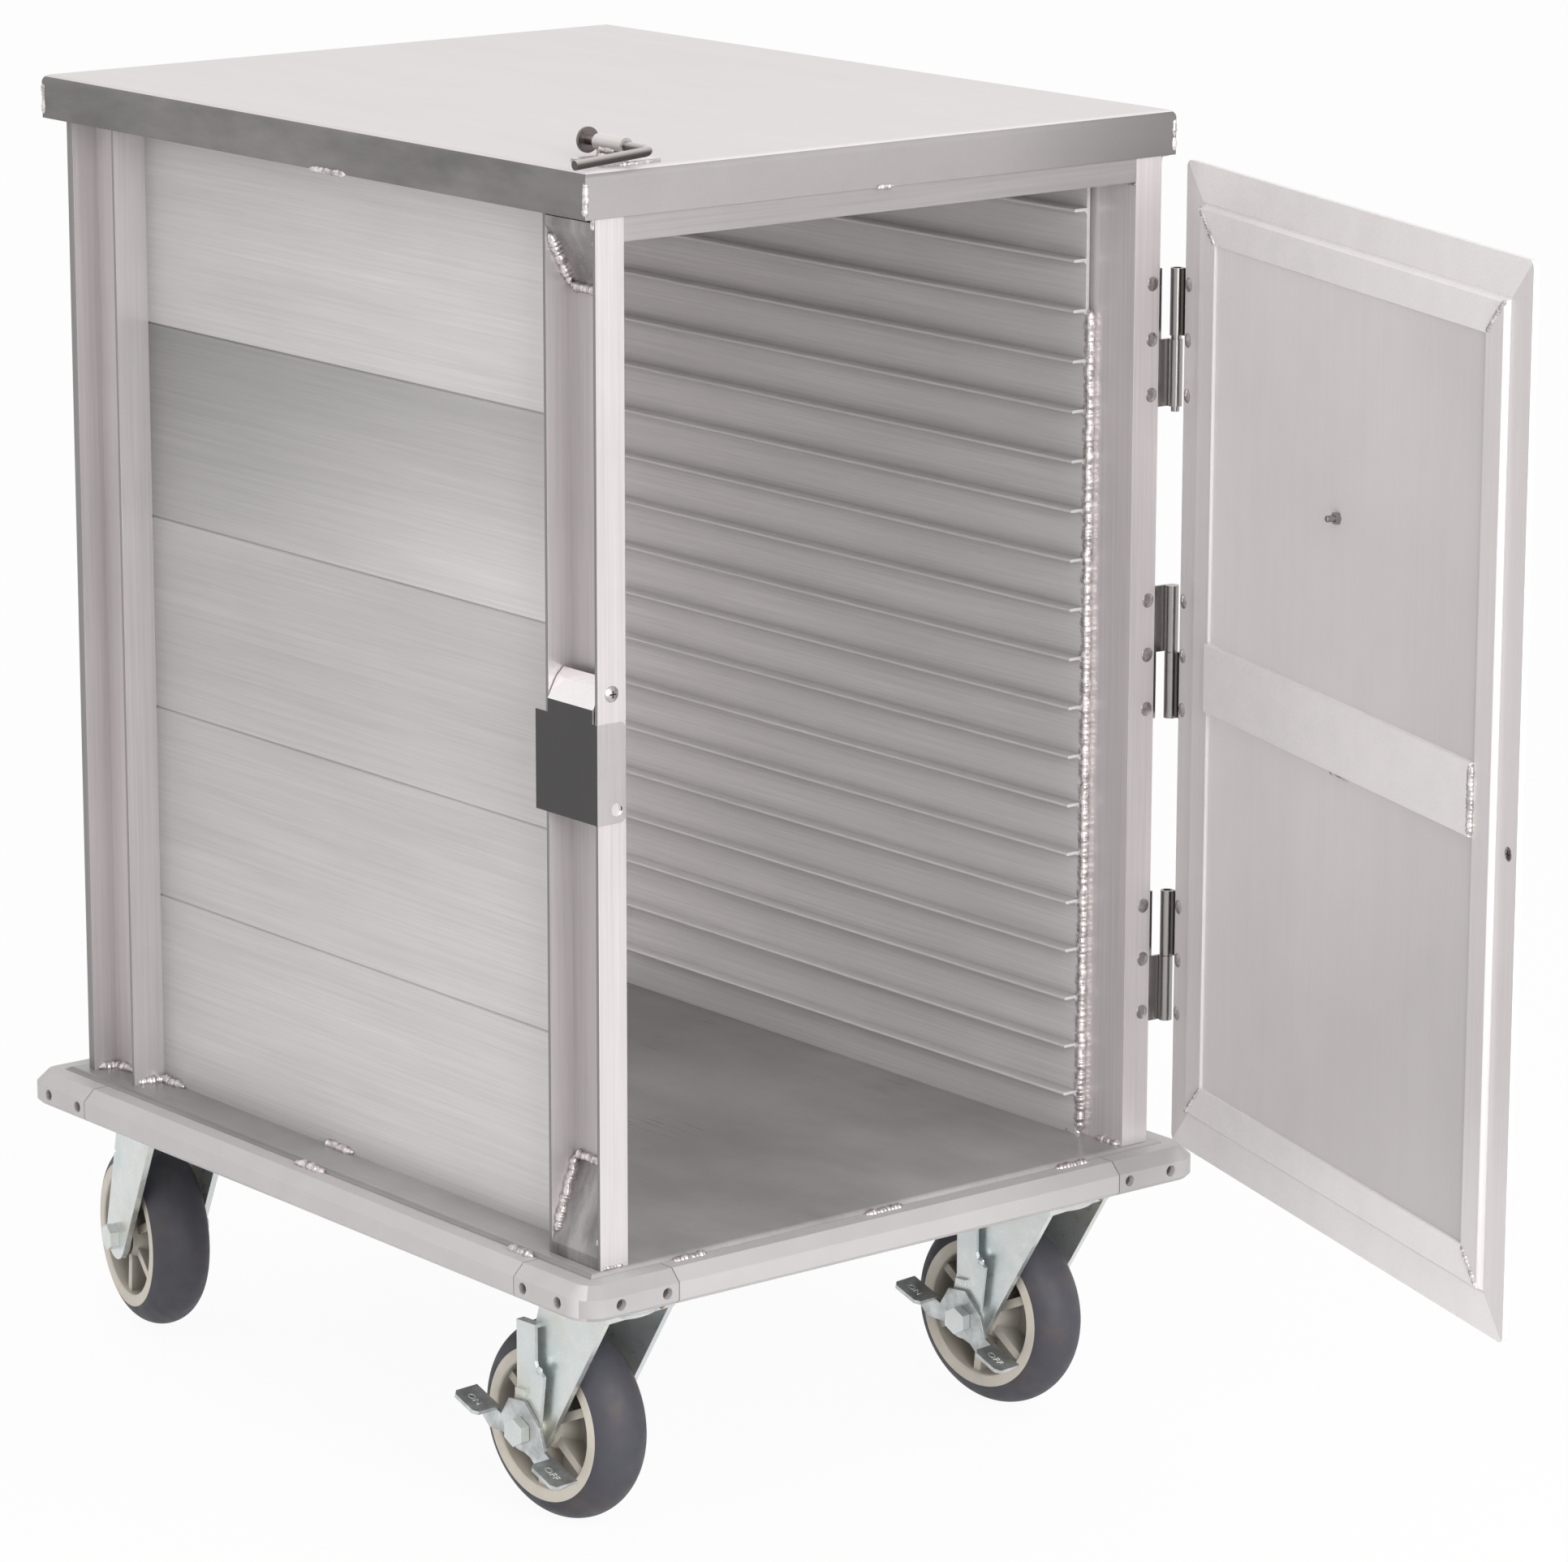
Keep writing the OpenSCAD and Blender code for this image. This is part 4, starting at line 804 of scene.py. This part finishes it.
def pad_word(k, word, start, end):
    """A word on a brake pad, whose slope runs from start to end, both given from the axle as
    millimetres along the trail and up."""
    across, proud = -55.6, 3.1
    cu = bpy.data.curves.new("brake_" + word.lower() + "_" + k, "FONT")
    cu.body = word
    cu.size = 8.5 * MM
    cu.extrude = 0.12 * MM
    cu.align_x = "CENTER"
    cu.align_y = "CENTER"
    o = bpy.data.objects.new(cu.name, cu)
    bpy.context.scene.collection.objects.link(o)
    t = math.atan2(end[1] - start[1], end[0] - start[0])
    up = Vector((-math.sin(t), math.cos(t)))
    at = Vector(((start[0] + end[0]) / 2, (start[1] + end[1]) / 2)) + up * proud

    def place(dy, dz):
        return caster_place(k, across, TRAIL + at.x + dy, WHEEL_R + at.y + dz)

    base = place(0, 0)
    ex = (place(-math.cos(t), -math.sin(t)) - base).normalized()
    ez = (place(up.x, up.y) - base).normalized()
    m = Matrix((ex, ez.cross(ex), ez)).transposed().to_4x4()
    m.translation = base * MM
    o.matrix_world = m
    cu.materials.append(zinc.m)
    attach(o, "pedal_" + k)


gusset_plates()
cabinet_welds()
door_welds()
latch_welds()
screw_crosses()
grease_nipples()
hub_seals()
for k in ("fl", "fr"):
    pad_word(k, "ON", (28, 9), (54, 19.5))
    pad_word(k, "OFF", (-58, -27.3), (-32, -16))


# ---------- stage, light and camera ----------

scene = bpy.context.scene
scene.view_settings.view_transform = "Standard"


def sees_white(nt):
    """1 for camera, glossy and transmission rays, which see plain white, else 0."""
    path = nt.nodes.new("ShaderNodeLightPath")
    fac = path.outputs["Is Camera Ray"]
    for kind in ("Is Glossy Ray", "Is Transmission Ray"):
        either = nt.nodes.new("ShaderNodeMath")
        either.operation = "MAXIMUM"
        nt.links.new(fac, either.inputs[0])
        nt.links.new(path.outputs[kind], either.inputs[1])
        fac = either.outputs[0]
    return fac


def studio_world():
    """White where it is seen, and soft light for the rest."""
    world = bpy.data.worlds.new("studio")
    scene.world = world
    world.use_nodes = True
    nt = world.node_tree
    nt.nodes.clear()
    out = nt.nodes.new("ShaderNodeOutputWorld")
    seen = nt.nodes.new("ShaderNodeBackground")
    seen.inputs["Color"].default_value = (1, 1, 1, 1)
    seen.inputs["Strength"].default_value = 1.0
    soft = nt.nodes.new("ShaderNodeBackground")
    soft.inputs["Color"].default_value = (1.0, 0.985, 0.98, 1)
    soft.inputs["Strength"].default_value = 0.78
    mix = nt.nodes.new("ShaderNodeMixShader")
    nt.links.new(sees_white(nt), mix.inputs[0])
    nt.links.new(soft.outputs[0], mix.inputs[1])
    nt.links.new(seen.outputs[0], mix.inputs[2])
    nt.links.new(mix.outputs[0], out.inputs[0])


def studio_floor():
    """Diffuse, and mostly white of its own where it is seen, so that a faint shadow stays."""
    reach, glow = 30, 0.94
    me = bpy.data.meshes.new("studio_floor")
    me.from_pydata([(-reach, -reach, 0), (reach, -reach, 0), (reach, reach, 0), (-reach, reach, 0)], [],
                   [(0, 1, 2, 3)])
    floor = bpy.data.objects.new("studio_floor", me)
    scene.collection.objects.link(floor)
    mat = bpy.data.materials.new("studio_floor")
    mat.use_nodes = True
    nt = mat.node_tree
    nt.nodes.clear()
    out = nt.nodes.new("ShaderNodeOutputMaterial")
    matt = nt.nodes.new("ShaderNodeBsdfDiffuse")
    matt.inputs["Color"].default_value = (0.9, 0.9, 0.9, 1)
    white = nt.nodes.new("ShaderNodeEmission")
    seen = nt.nodes.new("ShaderNodeMixShader")
    seen.inputs[0].default_value = glow
    mix = nt.nodes.new("ShaderNodeMixShader")
    nt.links.new(matt.outputs[0], seen.inputs[1])
    nt.links.new(white.outputs[0], seen.inputs[2])
    nt.links.new(sees_white(nt), mix.inputs[0])
    nt.links.new(matt.outputs[0], mix.inputs[1])
    nt.links.new(seen.outputs[0], mix.inputs[2])
    nt.links.new(mix.outputs[0], out.inputs[0])
    me.materials.append(mat)


def lamp(name, at, to, size, power):
    """Square area lamp at a point, aimed at another."""
    light = bpy.data.lights.new(name, "AREA")
    light.shape = "RECTANGLE"
    light.size = light.size_y = size
    light.energy = power
    o = bpy.data.objects.new(name, light)
    scene.collection.objects.link(o)
    o.location = at
    o.rotation_euler = (Vector(to) - Vector(at)).to_track_quat("-Z", "Y").to_euler()


def photo_camera():
    """Camera fitted to the photograph without a vertical shift: place in metres, turns in radians,
    focal length and centre in the photograph's pixels."""
    place = Vector((-2.89616, -3.83042, 1.6304))
    yaw, pitch, roll = 0.67565, 0.23425, 0.00161
    width, focal, centre = 1932, 7817.5, 955.4
    cam = bpy.data.cameras.new("camera")
    cam.sensor_width = 36
    cam.lens = focal / width * cam.sensor_width
    cam.shift_x = (width / 2 - centre) / width
    cam.clip_end = 100
    o = bpy.data.objects.new("camera", cam)
    scene.collection.objects.link(o)
    ahead = Vector((math.sin(yaw) * math.cos(pitch), math.cos(yaw) * math.cos(pitch), -math.sin(pitch)))
    level = Vector((math.cos(yaw), -math.sin(yaw), 0))
    rise = level.cross(ahead)
    right = level * math.cos(roll) + rise * math.sin(roll)
    up = rise * math.cos(roll) - level * math.sin(roll)
    m = Matrix((right, up, -ahead)).transposed().to_4x4()
    m.translation = place
    o.matrix_world = m
    scene.camera = o


studio_world()
studio_floor()
lamp("key", (-2.6, -3.4, 3.4), (0, 0, 0.6), 2.6, 5)
lamp("front", (-0.7, -3.6, 1.4), (0.1, 0.2, 0.7), 2.4, 100)
photo_camera()
